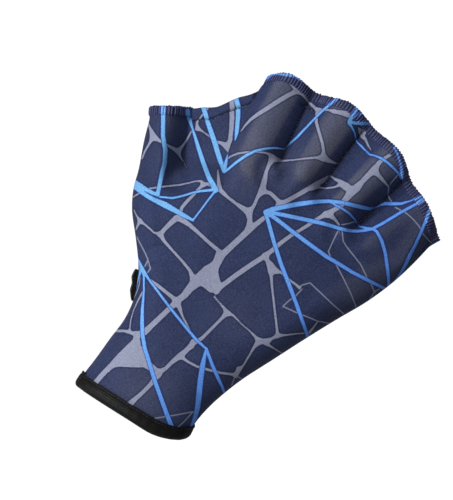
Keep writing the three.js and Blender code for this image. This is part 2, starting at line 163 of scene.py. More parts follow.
# The outline plane: a patch blended from its four sides for t up to 1, and past that straight
# on along the fingers
def planPoint(across, t):
    across, t = np.broadcast_arrays(np.asarray(across, float), np.asarray(t, float))
    along, beyond = np.minimum(t, 1)[..., None], np.maximum(t - 1, 0)[..., None] * glove["run"]
    a = across[..., None]
    foot = np.stack([(across - 0.5) * glove["wristWidth"], np.full(across.shape, glove["foot"])], -1)
    patch = (foot * (1 - along) + edgePoint(across) * along
             + atShare(leftCurve, along[..., 0]) * (1 - a) + atShare(rightCurve, along[..., 0]) * a
             - leftCurve[0] * (1 - a) * (1 - along) - rightCurve[0] * a * (1 - along)
             - leftCurve[-1] * (1 - a) * along - rightCurve[-1] * a * along)
    return patch + edgeLean(across) * beyond


# Undoes planPoint by walking the grid until the point is met
def gridPlace(x, z):
    x, z = np.asarray(x, float), np.asarray(z, float)
    across, t = np.full(x.shape, 0.5), z / glove["length"]
    for _ in range(90):
        p = planPoint(np.clip(across, 0, 1), np.clip(t, 0, 1.06))
        across = np.clip(across + (x - p[..., 0]) / 150, -0.05, 1.05)
        t = np.clip(t + (z - p[..., 1]) / 190, -0.02, 1.07)
    return np.clip(across, 0, 1), np.clip(t, 0, 1.06)


# Distance from points to the straight stretch from a to b
def segmentDistance(p, a, b):
    ab = b - a
    t = np.clip(((p - a) @ ab) / (ab @ ab), 0, 1)
    return np.linalg.norm(p - a - t[..., None] * ab, axis=-1)


# 0 inside a convex patch, else the distance to its nearest side
def patchDistance(p, corners):
    inside = np.ones(p.shape[:-1], bool)
    nearest = np.full(p.shape[:-1], np.inf)
    for i, a in enumerate(corners):
        b = corners[(i + 1) % len(corners)]
        cross = (b - a)[0] * (p - a)[..., 1] - (b - a)[1] * (p - a)[..., 0]
        inside &= cross <= 0
        nearest = np.minimum(nearest, segmentDistance(p, a, b))
    return np.where(inside, 0, nearest)


# A web's upper corner, two hem widths past the upper edge along the lean
def webCorner(across):
    inside = min(max(across, 0), 1)
    start = edgePoint(np.array(inside)) + edgeLean(np.array(inside)) * 2 * glove["hemWidth"]
    return start + np.array([(across - inside) * glove["span"], 0])


webPatches = [([stationPoint(s, u), webCorner(a0), webCorner(a1), stationPoint(s + w, u + r)],
               slope * glove["fingerDepth"], fade * glove["fingerDepth"])
              for s, u, w, r, a0, a1, slope, fade in webs]
indexSide = (edgePoint(np.array(.275)), edgePoint(np.array(.305)) + np.array([0, 11.0]))


# 0 on the flat webs, 1 on fingers and hand. The rise beside a web is part sine and part quarter
# circle of the distance from it.
def fullness(p):
    share = np.ones(p.shape[:-1])
    for i, (corners, slope, fade) in enumerate(webPatches):
        t = patchDistance(p, corners) / slope
        circle = 0.5 if i else 0.3
        flank = (1 - circle) * np.sin(np.clip(t, 0, 1) * np.pi / 2) + circle * roundEnd(t, 1.0)
        sunk = ease(0, fade, segmentDistance(p, corners[0], corners[3]))
        share *= 1 - sunk * (1 - flank)
    return share


# Soft creases: x, z, direction in degrees, half length, half width, depth, on the back or palm
creases = {
    "back": [
        (-20.5, 47.5, 96, 7, 0.9, 0.5), (-22.6, 48.5, 96, 7, 0.8, 0.45),
        (-26, 62, 25, 13, 1.6, 1.1), (-27, 56, 8, 11, 1.4, 1.0), (-28, 69, 42, 12, 1.8, 0.9),
        (-24.6, 50, 92, 8, 1.1, 0.5), (-33, 102, 12, 9, 3.5, 0.5),
        (2, 26, 4, 22, 3.0, 0.35), (-6, 38, -5, 20, 3.2, 0.35), (20, 44, 24, 18, 3.2, 0.30),
        (-20, 88, 58, 16, 4.0, 0.45), (48, 84, 52, 20, 4.0, 0.35), (30, 20, 8, 12, 2.4, 0.3),
        (18.5, 134, 20, 8, 6.0, -1.1), (42, 126, 30, 8, 6.0, -0.8), (-2, 136, 10, 8, 7.0, -0.7),
        (-43, 111, -62.5, 15, 5.0, -2.2), (-33.5, 110.5, 117.5, 8, 4.5, 3.0),
    ],
    "palm": [
        (4, 92, 28, 30, 2.2, 0.9), (18, 108, -6, 32, 2.0, 0.8), (-14, 84, 62, 28, 2.0, 1.0),
        (0, 26, 4, 24, 2.6, 0.5), (2, 34, -4, 24, 2.6, 0.4), (44, 100, 60, 18, 2.4, 0.5),
        (-34, 104, -60, 15, 2.2, 0.8),
    ],
}
# Seams that draw the two panels together beside each web: a path in the outline plane
webSeams = [
    [(6.2, 164), (6.0, 157), (6.3, 148), (6.5, 141), (7.4, 134)],
    [(34.5, 163), (33.1, 156.5), (31.4, 147), (30.4, 139), (30.9, 132.5)],
    [(62.4, 155), (60.6, 150.5), (59.0, 144.3), (55.6, 134.5), (51.8, 124)],
    [(4.0, 160.8), (5.4, 161.1), (8.0, 161.0), (10.8, 160.2)],
]
seamCurves = [smoothCurve(path, 24) for path in webSeams]
thumbValley = smoothCurve([(-42, 137), (-37, 125), (-33, 115.5), (-30.2, 110.8), (-26, 108)], 12)


# Distance to a curve, taken four of its steps at a time, and how far along it that is
def curveDistance(p, curve):
    best = np.full(p.shape[:-1], np.inf)
    where = np.zeros(p.shape[:-1])
    s = np.concatenate([[0], np.cumsum(np.linalg.norm(np.diff(curve, axis=0), axis=1))])
    for i in range(0, len(curve) - 1, 4):
        j = min(i + 4, len(curve) - 1)
        a, ab = curve[i], curve[j] - curve[i]
        t = np.clip(((p - a) @ ab) / (ab @ ab), 0, 1)
        d = np.linalg.norm(p - a - t[..., None] * ab, axis=-1)
        where = np.where(d < best, s[i] + t * (s[j] - s[i]), where)
        best = np.minimum(best, d)
    return best, where


# Small relief on top of the form: creases, the pull of the seams, and a slow unevenness
def relief(p, palm):
    add = np.zeros(p.shape[:-1])
    for x, z, turn, half, width, depth in creases["palm" if palm else "back"]:
        c, s = math.cos(math.radians(turn)), math.sin(math.radians(turn))
        u = (p[..., 0] - x) * c + (p[..., 1] - z) * s
        v = -(p[..., 0] - x) * s + (p[..., 1] - z) * c + 0.012 * u * u
        add -= depth * np.exp(-(u / half) ** 2) * (np.exp(-(v / width) ** 2)
                                                   - 0.45 * np.exp(-((v - 1.9 * width) / width) ** 2))
    if not palm:
        add -= 1.6 * np.exp(-(curveDistance(p, thumbValley)[0] / 2.8) ** 2)
    for curve in seamCurves:
        d, s = curveDistance(p, curve)
        add -= 0.75 * np.exp(-(d / 0.9) ** 2)
        add += 0.26 * np.cos(s * 2 * np.pi / 4.3) * np.exp(-((d - 2.2) / 1.8) ** 2)
    x, z = p[..., 0], p[..., 1]
    add += 0.16 * np.sin(x / 6.3 + z / 17 + 1.0) * np.sin(z / 8.1 - x / 23)
    add += 0.10 * np.sin(x / 3.1 - z / 5.3) * np.sin(z / 4.4 + x / 9.0 + 2)
    return add


# Distance of the outer face from the middle surface
def outerHeight(across, t, palm, detail=True):
    p = planPoint(across, t)
    along = np.minimum(t, 1)
    body = glove["wristDepth"] / 2 + (glove["palmDepth"] - glove["wristDepth"]) / 2 * ease(0, .6, along)
    tube = glove["thumbDepth"] / 2 + (glove["fingerDepth"] - glove["thumbDepth"]) / 2 * ease(.1, .35, across)
    height = (body + (tube - body) * ease(.5, 1, along)) * (1.06 if palm else 0.96)
    if palm:
        for side, up, breadth, rise in palmSwellings:
            far = np.linalg.norm(p - stationPoint(side, up), axis=-1) / (breadth * glove["span"])
            height = height + rise * glove["palmDepth"] * np.exp(-far * far) * ease(0, .25, along)
    web = glove["wall"] + glove["seam"] / 2
    share = fullness(p)
    full = web + (height - web) * share
    if detail:
        full = full + relief(p, palm) * (0.35 + 0.65 * share) * ease(0, .06, along)
    beside = ease(.272, .284, across) * (across < .45)
    side = roundEnd(segmentDistance(p, *indexSide), glove["fingerDepth"] / 2.4)
    full = full * (1 - beside + beside * side)
    wrist = glove["wristWidth"] / 2
    leftRadius = wrist + (glove["thumbDepth"] - glove["wristWidth"]) / 2 * ease(0, .55, along)
    rightRadius = wrist + (glove["palmDepth"] / 2.2 - wrist) * ease(0, .5, along)
    rightRadius = rightRadius + (web - rightRadius) * ease(.72, .98, along)
    ends = (roundEnd(np.linalg.norm(p - planPoint(0, t), axis=-1), leftRadius)
            * roundEnd(np.linalg.norm(p - planPoint(1, t), axis=-1), rightRadius))
    return np.maximum(full * ends, glove["seam"] / 2)


# The middle surface: thumb and finger tips lie towards the palm, and the thumb's web dips where
# it leaves the thumb
def middleDepth(across, t):
    along = np.minimum(t, 1)
    thumb = glove["thumbForward"] * (1 - ease(0, .33, across)) * ease(.3, .9, along)
    tips = 0.5 * glove["thumbForward"] * ease(.6, 1, along) ** 2
    little = 0.75 * glove["thumbForward"] * ease(.7, 1, across) * ease(.4, .9, along)
    fromThumb = curveDistance(planPoint(across, t), thumbValley)[0]
    return thumb + tips + little + 3.4 * np.exp(-(fromThumb / 6.5) ** 2)


# The soft cuff isn't level: how far it hangs or rises, by the angle round the wrist, where -90
# is the back of the hand and 0 the little finger's side
cuffDroop = [(-180, -.6), (-140, -1.4), (-90, -2.5), (-50, -3.8), (-25, -1.8), (0, 2.4), (40, 1.8),
             (90, .4), (140, -.2), (180, -.8)]
droopAngle = np.arange(-180, 181)
droop = np.interp(droopAngle, *zip(*cuffDroop))
droop = sum(np.roll(droop[:-1], k) for k in range(-12, 13)) / 25
droop = np.append(droop, droop[0])


# The droop read off at a point's angle, fading to nothing 30 mm up
def cuffShift(x, y, z):
    angle = np.degrees(np.arctan2(y, x))
    return np.interp(angle, droopAngle, droop) * (1 - ease(0, 30, z))


# A point of the cloth: the outline plane gives x and z, the height above the middle gives y
def clothPoint(across, t, palm, detail=True):
    across, t = np.broadcast_arrays(np.asarray(across, float), np.asarray(t, float))
    p = planPoint(across, t)
    y = middleDepth(across, t) + outerHeight(across, t, palm, detail) * (1 if palm else -1)
    return np.stack([p[..., 0], y, p[..., 1] + cuffShift(p[..., 0], y, p[..., 1])], -1)


# The same with its outward direction, the cross product of the grid's two directions
def clothFrame(across, t, palm, detail=True):
    across, t = np.broadcast_arrays(np.asarray(across, float), np.asarray(t, float))
    sideways = (clothPoint(np.minimum(across + .002, 1), t, palm, detail)
                - clothPoint(np.maximum(across - .002, 0), t, palm, detail))
    lengthways = (clothPoint(across, np.minimum(t + .003, 1.07), palm, detail)
                  - clothPoint(across, np.maximum(t - .003, 0), palm, detail))
    normal = np.cross(sideways, lengthways) * (-1 if palm else 1)
    normal /= np.maximum(np.linalg.norm(normal, axis=-1, keepdims=True), 1e-9)
    return clothPoint(across, t, palm, detail), normal


# A mesh object from millimetres, standing in for a node of the frame where one is named
def newPiece(name, vertices, faces, material, node=None):
    mesh = bpy.data.meshes.new(name)
    mesh.from_pydata((np.asarray(vertices) / 1000).tolist(), [], faces)
    mesh.validate()
    mesh.polygons.foreach_set("use_smooth", np.ones(len(mesh.polygons), bool))
    obj = bpy.data.objects.new(name, mesh)
    bpy.context.scene.collection.objects.link(obj)
    mesh.materials.append(material)
    if node:
        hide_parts(node)
    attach(obj, "root")
    print(name, len(mesh.polygons), "faces")
    return obj


# One number for each point, which a material reads by its name
def addAttribute(obj, name, values):
    layer = obj.data.attributes.new(name, "FLOAT", "POINT")
    layer.data.foreach_set("value", np.asarray(values, np.float32))


# Quads between the neighbours of a grid, and round the end of a direction that is a loop
def gridFaces(rows, columns, start=0, flip=False, loopRows=False, loopColumns=False):
    i = np.arange(rows if loopRows else rows - 1)[:, None]
    j = np.arange(columns if loopColumns else columns - 1)[None, :]
    i1, j1 = (i + 1) % rows, (j + 1) % columns
    quads = np.stack([i * columns + j, i * columns + j1, i1 * columns + j1, i1 * columns + j], -1)
    quads = quads.reshape(-1, 4) + start
    return quads[:, ::-1] if flip else quads


# A wall with a fine outer grid and an inner grid of every third point, closed round its rim
# with four triangles to each inner step
def wallPiece(outer, inner):
    rows, columns = outer.shape[:2]
    fewRows, fewColumns = inner.shape[:2]
    outerId = np.arange(rows * columns).reshape(rows, columns)
    innerId = np.arange(fewRows * fewColumns).reshape(fewRows, fewColumns) + rows * columns
    faces = gridFaces(rows, columns).tolist()
    faces += gridFaces(fewRows, fewColumns, rows * columns, flip=True).tolist()
    rims = [(outerId[0], innerId[0], True), (outerId[-1], innerId[-1], False),
            (outerId[:, 0], innerId[:, 0], False), (outerId[:, -1], innerId[:, -1], True)]
    for o, n, flip in rims:
        a, b, c, d = o[:-1:3], o[1::3], o[2::3], o[3::3]
        n0, n1 = n[:-1], n[1:]
        strips = [(a, b, n0), (b, c, n0), (c, n1, n0), (c, d, n1)]
        tris = np.concatenate([np.stack(s, -1) for s in strips])
        faces += (tris[:, ::-1] if flip else tris).tolist()
    return np.concatenate([outer.reshape(-1, 3), inner.reshape(-1, 3)]), faces


# Turns a closed shape the right way round: six times its volume is the sum of a . (b x c) over
# its triangles, which is below zero while it is inside out
def outwards(vertices, faces):
    tri = np.array([f[:3] for f in faces] + [[f[0], f[2], f[3]] for f in faces if len(f) == 4])
    a, b, c = (np.asarray(vertices)[tri[:, k]] for k in range(3))
    return faces if (a * np.cross(b, c)).sum() > 0 else [f[::-1] for f in faces]


# Tubes along many short paths at once: a ring round each path point, spanned by the given
# normal and the direction across the path, and a point at either end
def tubes(paths, normals, radius, sides=6, flatten=1.0):
    paths, normals = np.asarray(paths, float), np.asarray(normals, float)
    count, steps = paths.shape[:2]
    along = np.gradient(paths, axis=1)
    along /= np.maximum(np.linalg.norm(along, axis=-1, keepdims=True), 1e-9)
    acrossPath = np.cross(along, normals)
    acrossPath /= np.maximum(np.linalg.norm(acrossPath, axis=-1, keepdims=True), 1e-9)
    up = np.cross(acrossPath, along)
    angle = np.arange(sides) * 2 * np.pi / sides
    size = np.broadcast_to(np.asarray(radius, float), (count, steps))[..., None, None]
    rings = (paths[:, :, None] + size * (np.cos(angle)[:, None] * acrossPath[:, :, None]
                                         + flatten * np.sin(angle)[:, None] * up[:, :, None]))
    tips = np.stack([paths[:, 0] - along[:, 0] * size[:, 0, 0] * 0.5,
                     paths[:, -1] + along[:, -1] * size[:, -1, 0] * 0.5], 1)
    vertices = np.concatenate([rings.reshape(count, -1, 3), tips], 1)
    each = vertices.shape[1]
    quads = gridFaces(steps, sides, loopColumns=True)
    k = np.arange(sides)
    first = np.stack([(k + 1) % sides, k, np.full(sides, each - 2)], -1)
    last = np.stack([(steps - 1) * sides + k, (steps - 1) * sides + (k + 1) % sides,
                     np.full(sides, each - 1)], -1)
    shift = (np.arange(count) * each)[:, None, None]
    faces = (quads + shift).reshape(-1, 4).tolist()
    faces += (np.concatenate([first, last]) + shift).reshape(-1, 3).tolist()
    return vertices.reshape(-1, 3), faces, each


# The print is charted on a sheet turned 27.5 degrees over the back of the glove. Each
# point is u to the right, v down and the line's breadth there, all in steps of the sheet.
sheet = {"step": 0.46, "turn": 27.5, "u": 132.5, "v": 411}
blueLines = [
    [(163, 100, 4), (163, 114, 4.4), (163, 136, 4.4), (165.5, 150, 4.6), (165, 163, 4.5),
     (162, 175, 4.4), (158, 195, 4.2)],
    [(187.5, 110, 4.6), (188.5, 117, 4.4), (192, 127, 2.3), (197.5, 145, 4), (203.5, 163.5, 4.6),
     (209, 178, 5), (216, 190.5, 5.6)],
    [(201.5, 102, 5), (206.5, 118.5, 4.4), (214.6, 142, 5.2), (219, 157, 5.2), (224, 172, 3.6)],
    [(235, 96, 5), (238, 107, 5), (238, 116, 4.6), (236.6, 132, 4.2), (235, 141, 1)],
    [(227.8, 153, .6), (226, 162, 3.4), (224, 171, 4.2)],
    [(224.5, 172.5, 2.4), (236.4, 162.7, 3), (245.4, 156.5, 3.1), (254.5, 152, 3), (265, 149.3, 2.6),
     (275, 148.4, 2.2), (284, 149.2, 1.5), (288.5, 144.6, 2), (296.5, 137.5, 2.6), (315, 118, 2.1),
     (322, 111, 2.5), (339, 97, 2.4), (343, 93, 2)],
    [(134, 184, 9), (140, 187.4, 8), (147, 190.6, 5.4), (153, 193.2, 4), (159, 195.4, 2.6)],
    [(136, 187, 6), (142, 192.4, 4.6), (150, 197.6, 4.6), (158, 201.6, 5.4), (166, 205.4, 6.2),
     (175, 210.4, 5.2), (184, 215.4, 4.4), (193.5, 220.6, 2.6)],
    [(193.5, 220, 1.8), (200.5, 211, 1.9), (207.5, 201.5, 2), (216, 190.5, 2.6)],
    [(160, 197, 2), (173, 198.4, 2.3), (183, 196.2, 2.3), (192, 193.3, 2.4), (200, 191.6, 2.6),
     (216, 190, 2.9)],
    [(137.6, 257.6, 1.6), (140.4, 263.6, 3.2), (142, 268, 4.6), (140.4, 273, 2.6), (138, 280, 1.8),
     (136.4, 287.6, 1)],
    [(142.5, 268, 3), (144.4, 276, 2.2), (144.6, 290, 2), (143.2, 308, 3.2), (143, 322, 4),
     (143.6, 334, 4), (146, 347, 4.1), (150.2, 360, 4.1), (155.4, 377, 4.2), (161, 393, 4.3),
     (166.6, 409, 4.4), (171, 421, 4.6), (176, 434, 4.6)],
    [(142.5, 268, 4), (149.3, 278.6, 2.4), (157, 288.6, 2.5), (172.5, 309, 2.7), (189.5, 329.8, 2.9),
     (197.4, 339, 3.1), (207, 347.5, 2.4)],
    [(206.6, 347, 2.4), (205, 353, 3.2), (203, 363, 5.2), (200.8, 378, 5.6), (199.4, 392, 5.8),
     (197.8, 406, 5.4), (194.6, 418.5, 4.4), (190.5, 428, 2.4)],
    [(206.6, 347, 2.6), (212.3, 363, 3.6), (217, 374, 3.6), (221.8, 384.5, 3.2), (225, 394, 2.4)],
    [(264, 211.6, 2.4), (272, 209.6, 5), (283, 207.2, 4.8), (298, 204.3, 4.9), (316, 202, 4.3),
     (328, 201.4, 3.7), (340.5, 202.8, 3.9), (351.3, 205.3, 4.4), (362, 207.6, 4.1), (370, 208.8, 3.2),
     (375.4, 207.2, 1.9), (380.7, 204.7, 2.2), (386, 203.3, 3.6), (394, 203.6, 3.6),
     (401, 203.5, 2.8), (409.5, 201, 1.7), (415, 199, 1.7), (424, 194.5, 1.8)],
    [(264.5, 212, 3.6), (280.5, 214.8, 4.2), (298, 218.4, 4.2), (320, 223.2, 4.1), (329, 225.6, 3.8),
     (338, 228.4, 3.7), (347, 230.5, 3.5), (356, 231.2, 3.1), (364.6, 230.4, 2.8),
     (372, 228.6, 3.1), (383, 222.8, 3), (400.5, 212.2, 3), (417, 203.3, 3), (429, 196, 2.6)],
    [(265, 212, 3.8), (276, 219.6, 4.1), (289.4, 230, 4.2), (307, 243.2, 4.2), (325, 256.2, 4),
     (340, 265, 3.8), (351.3, 272, 3.6), (369, 281, 3.6), (387, 289.6, 3.2)],
    [(264.4, 212, 3.8), (268, 223, 4), (273.4, 242.5, 3.9), (279.6, 262, 4.1), (287.6, 282.7, 4.1),
     (294.4, 300.5, 3.9), (300, 316, 3.7), (304, 327, 3.6), (308.5, 339, 3.6)],
    [(328, 202, 1.6), (340.5, 208.6, 2.6), (348.7, 214, 2.6), (354, 219.4, 2), (356.8, 224, 1.3),
     (359.4, 226.4, 1.9), (366.4, 228.2, 2.5), (371.8, 228.7, 2.6)],
    [(371.8, 228.8, 2.6), (376, 231.5, 3.2), (381, 241, 3.6), (384.5, 253, 3.6), (386.6, 267.5, 3.6),
     (388.3, 280, 3.5), (389.4, 288, 3)],
    [(434, 201, 2.2), (428.5, 212, 2.8), (425.8, 219.5, 3.2), (421, 232, 3.3), (414.6, 246, 3.5),
     (410.2, 254, 4), (406.6, 262, 4), (401.3, 272, 3), (395, 281, 1.2)],
    [(347.4, 123, 2.2), (350.6, 118.4, 4.4), (354, 113.6, 4), (357.5, 106.5, 3.2), (359, 103, 2)],
    [(350, 122.6, 3.2), (354.5, 123.5, 3.6), (363, 123.5, 3.1), (370, 123.4, 2.4)],
    [(357, 117, 1), (361, 113, 2.4), (364, 110, 2)],
    [(348.4, 124, 3), (351.4, 127.6, 2.3), (354.4, 133, 2), (356.2, 140, 1.8), (357.6, 142.8, 1.7),
     (361, 145.4, 2.4), (365.6, 150.8, 1.9), (369, 154.6, 2), (373.6, 155.7, 1.8),
     (380.7, 158.8, 2.7), (387, 163.2, 2.8), (394, 169.4, 2.6), (399.4, 174.8, 2.8),
     (401, 178.6, 2.2)],
    [(401.4, 178, 2.2), (401.6, 174, 3.4), (400.6, 167, 2), (398.4, 160.5, 1.5), (396.4, 154, 1.6),
     (393, 147.5, 1.6)],
    [(405, 166, 1), (406, 162, 2), (407, 159, 1.4)],
    [(266.5, 79, 1.4), (270, 75.4, 2.2), (275, 73.6, 2.4), (285, 75.4, 2.8), (295, 77, 2.4),
     (302, 82, 1.2)],
]
blueSlits = [[(144, 191, .3), (149, 193.8, 1.2), (155, 197, 1.3), (163, 200.6, .4)]]
greyLines = [
    [(94, 384, 5), (106.5, 370, 5.2), (113, 364, 6), (121, 357, 9), (137, 342, 10), (138, 333, 4)],
    [(119, 362, 6), (134, 360, 11), (146, 361, 9), (153, 366, 7), (158.5, 371, 7)],
    [(132, 353, 13), (142, 351, 12)], [(213, 272, 10), (216.5, 284, 9), (217, 291, 4)],
    [(236, 375, 2), (238, 367, 4)], [(270, 264, 5), (275, 270, 5)],
    [(116, 330.5, 2.6), (125, 330, 2.8), (131, 331.5, 3.2), (139, 333, 5), (146, 330.6, 6.4),
     (152.5, 324.4, 5.4), (167.4, 310.3, 5.2), (175, 303, 5.8), (180, 298.5, 6), (185, 294.3, 7),
     (190.5, 287.4, 8), (197, 281, 11), (209, 272, 15), (217, 263, 8), (222.4, 254.5, 6.6),
     (231.4, 246, 6), (240.2, 238, 6), (248.4, 230, 6.6), (255.4, 224.6, 5), (263, 218.6, 4.6)],
    [(206, 282, 10), (212, 287, 10), (216, 290, 5), (224, 283.6, 4.8), (235.8, 274.7, 5),
     (249, 265.6, 5), (262.6, 256.8, 5), (271.4, 250.4, 4.6), (280.4, 242.6, 4.2),
     (290.2, 235.4, 3.8), (298.2, 230.8, 3.2), (307, 225.4, 3.6), (316, 219.2, 3.4),
     (325, 214.4, 5), (334, 209.6, 4.6), (339.4, 206.4, 4.6), (344.2, 200, 6), (349.8, 193, 8),
     (355.8, 188, 8), (361.4, 181.8, 5), (367.3, 175.6, 5.6), (373.6, 170, 6.6), (378, 163.2, 4.4),
     (382.5, 159.4, 3.4), (391, 154, 3.2)],
    [(276.8, 206, 4.4), (289.3, 199.6, 4.5), (298.2, 194.6, 4.5), (307, 189.4, 4.6),
     (316, 184.4, 5.2), (322, 181, 5), (329, 175.7, 2)],
    [(248.6, 228, 5.6), (249.4, 220, 5), (248.4, 212.4, 7), (235.7, 204, 3), (226.8, 197, 3.2),
     (219.8, 190, 5), (218.6, 181, 3.2), (217.7, 170, 1.6)],
    [(248.4, 212.4, 5), (253.6, 206, 3.4), (257, 198, 3.4), (261.4, 191.6, 6.6), (264, 181, 5.4),
     (265.9, 172, 3.4), (268.6, 165.4, 4), (272.2, 159, 7), (282, 160.9, 2.2), (292.7, 160.4, 1.6),
     (304.3, 159.1, 2), (315, 158.2, 2.6), (322.6, 158.4, 7), (331.6, 162.3, 3), (338, 163.8, 1.6)],
    [(261.4, 191.6, 4), (269.6, 193.4, 3.8), (276, 199.6, 4), (280.4, 204, 4.6)],
    [(272.2, 159, 5), (269.5, 154.8, 2.8), (263, 153.2, 1.8), (254, 152.8, 1.8), (246, 152.9, 2),
     (238, 153.9, 2.2), (231, 156.4, 2.2), (227, 159.4, 1.4)],
    [(322.8, 158, 5), (322.8, 151, 3.2), (321.6, 143.6, 3), (319, 134.5, 3), (316, 123, 3),
     (316.2, 114, 2.2), (318, 110.4, 3.6), (308.8, 102, 2.4), (303.2, 95.6, 3), (297.6, 91, 5.4),
     (292.6, 85.8, 4), (286.4, 80.5, 2.4)],
    [(297, 91.6, 4.4), (289.6, 95, 4.6), (279.3, 101, 4.8), (268.6, 108, 4.5), (258, 114.5, 4),
     (250.6, 119.8, 3.2), (244.6, 126, 2.2), (240.5, 132, 1)],
    [(333.4, 111.9, 3), (341, 113.4, 5), (347.6, 115, 6.4)],
    [(318.6, 110, 3.6), (327, 110.2, 2), (333.4, 111.9, 3)],
    [(358, 128, 1.4), (361.4, 132, 5), (362, 135.6, 4.6), (365.4, 139, 3), (368.2, 145.4, 2),
     (371, 151, 1.1)],
    [(361.4, 132, 4), (365.6, 132, 3)],
    [(373.6, 171, 6), (378.6, 176.8, 4), (384.4, 182.8, 2.6), (388.4, 187, 1.3)],
    [(350, 192, 5), (347, 187, 6), (340.6, 182, 3.8), (335.2, 179.4, 3), (331.6, 176.6, 1.6)],
    [(344, 187, 6), (339, 185, 3), (334.6, 187.2, 2), (326, 188.3, 1.7), (318, 187.6, 1.7),
     (311, 189.6, 1.5)],
    [(325, 214.4, 5), (329, 215.6, 6), (333.4, 219.2, 3.2), (338, 224.8, 2)],
    [(216, 262, 5), (218.6, 250.4, 4), (209, 242.4, 3.5), (200, 234, 3.4), (189.6, 224.8, 4.4),
     (181, 219, 6), (176.6, 218.4, 6), (170.6, 223.8, 5), (165.4, 229, 4.2), (161, 234.4, 5),
     (164.6, 240.8, 3.4), (172.4, 249.6, 2.6), (182.4, 260.4, 2.6), (190.4, 270.2, 3.2),
     (193.6, 278, 6)],
    [(179.6, 217, 4), (182.2, 207.8, 3.4), (187.6, 201.4, 3.4), (194, 195, 3.2), (200, 188, 3),
     (203.6, 185, 3.6), (208, 184.2, 3), (212, 187.4, 2)],
    [(203.6, 185, 3), (201.6, 181.6, 2.4), (196, 181.4, 1.6), (190, 182.8, 1.6), (180.4, 185, 1.8),
     (167, 186.4, 1.8), (158, 187.6, 1.8), (149, 189, 1.8)],
    [(161, 234.4, 3), (154.6, 232.6, 1.9), (145.8, 224.8, 2.1), (140.4, 221, 3.6), (136.4, 215, 1.5),
     (134, 209.6, 1.2)],
    [(140.4, 221, 3), (137.4, 226.6, 2.4), (136, 230, 1.4)],
    [(149.6, 278, 1.4), (158.2, 284.6, 3.4), (167, 291.6, 3.5), (176.2, 299, 4.2), (179.6, 305, 4.6),
     (183, 315, 2.2), (187.7, 324, 2.1), (191, 331, 2)],
    [(158.5, 371, 6), (166.4, 366.6, 3.6), (173, 360, 4.2), (180.2, 354.4, 6), (186, 349.6, 5),
     (193.6, 341.8, 5), (202, 337, 3.5), (208.6, 330.4, 3.2), (216.8, 322.2, 3), (222.4, 316.6, 3.4),
     (226.8, 312, 5.6), (224.4, 307.6, 3), (219.6, 302, 1.7), (214.4, 296, 1.9)],
    [(192, 345, 3.4), (193, 339, 2.4)],
    [(226.8, 312, 4), (232.6, 313.9, 2.3), (240.8, 322.2, 1.6), (249.2, 329.6, 1.6),
     (254.8, 335.2, 2.8), (258.6, 340, 6), (253.8, 345.6, 3), (249.2, 353.6, 2), (243.8, 362.8, 2),
     (239, 369.4, 3), (235.4, 374, 3)],
    [(235.4, 373.6, 3), (229.8, 372.6, 2.6), (220.6, 371.2, 2.5), (208.6, 368, 2.5),
     (197.4, 364.6, 2.5), (188, 359.6, 2.6), (182, 355, 3)],
    [(258.6, 340, 5), (266.8, 339.8, 4.8), (271.4, 337.2, 3), (277, 334.4, 4), (286.2, 333.8, 1.8),
     (295.6, 332.8, 1.6), (304, 332.4, 1.5)],
    [(266.8, 340, 4), (265.6, 342.6, 3), (273.4, 347.2, 1.7), (283, 353.6, 1.5)],
    [(277, 334.4, 3), (275.6, 323, 2.3), (274.2, 311, 2.3), (271.4, 287, 2.3), (270.6, 276.4, 3.2),
     (270.2, 270.4, 5.2), (267.2, 261, 4.2), (265, 255.4, 4.6)],
    [(270.2, 270.4, 4), (280.4, 272, 2.6), (289.4, 280, 2.1), (294.6, 283.8, 2.4), (298.6, 287, 3.6)],
    [(158.4, 373, 6), (151.8, 382, 4.2), (143.4, 390.6, 4), (136.8, 396.2, 4.6), (131, 402, 6.4),
     (126, 407, 8)],
    [(133, 197, 1.6), (139.4, 193.2, 2)],
    [(147, 121, 1.4), (150.2, 128.6, 3), (153, 136.4, 7), (159.2, 140.6, 3.2), (167, 144.8, 2.1),
     (173.4, 148.4, 3.8), (177.8, 150.4, 4.6), (183.2, 143.8, 2.2), (188.6, 135, 2.1),
     (191.4, 129.4, 1.6)],
    [(153, 137, 4), (149.2, 143.2, 2.6), (144.8, 150.4, 2.1), (141.6, 158, 2)],
    [(177.8, 151, 4), (179.6, 155.6, 2), (184.2, 162.8, 1.2), (187.2, 169.4, .9)],
    [(197, 128, 3.4), (196.6, 121.4, 2.3), (199.8, 115.2, 1.9), (203, 111.5, 2.2), (206.5, 106, 3.2)],
    [(197.6, 127.4, 3), (203.4, 131.4, 1.9), (209.4, 136, 1.9), (216.8, 141.3, 2.4),
     (222, 143.2, 4), (226.6, 146, 5.6), (230, 140.4, 4.4), (231.2, 129.6, 4.5), (232, 117, 4.8),
     (231.4, 104.6, 5), (230.6, 97, 5)],
    [(226.8, 146.4, 4), (227.8, 152, 1.8)],
    [(308.4, 332.6, 3), (316.8, 321, 1.4)],
    [(130.6, 329, 1.6), (131.4, 320, 1.3), (134, 310, 1.2), (137.6, 302, 1.6), (141.3, 295, 2),
     (144, 289.6, 1.1)],
    [(140.6, 277, .9), (139.6, 284, 1.3), (137.4, 291, 1.2), (134.4, 297.6, .8)],
]
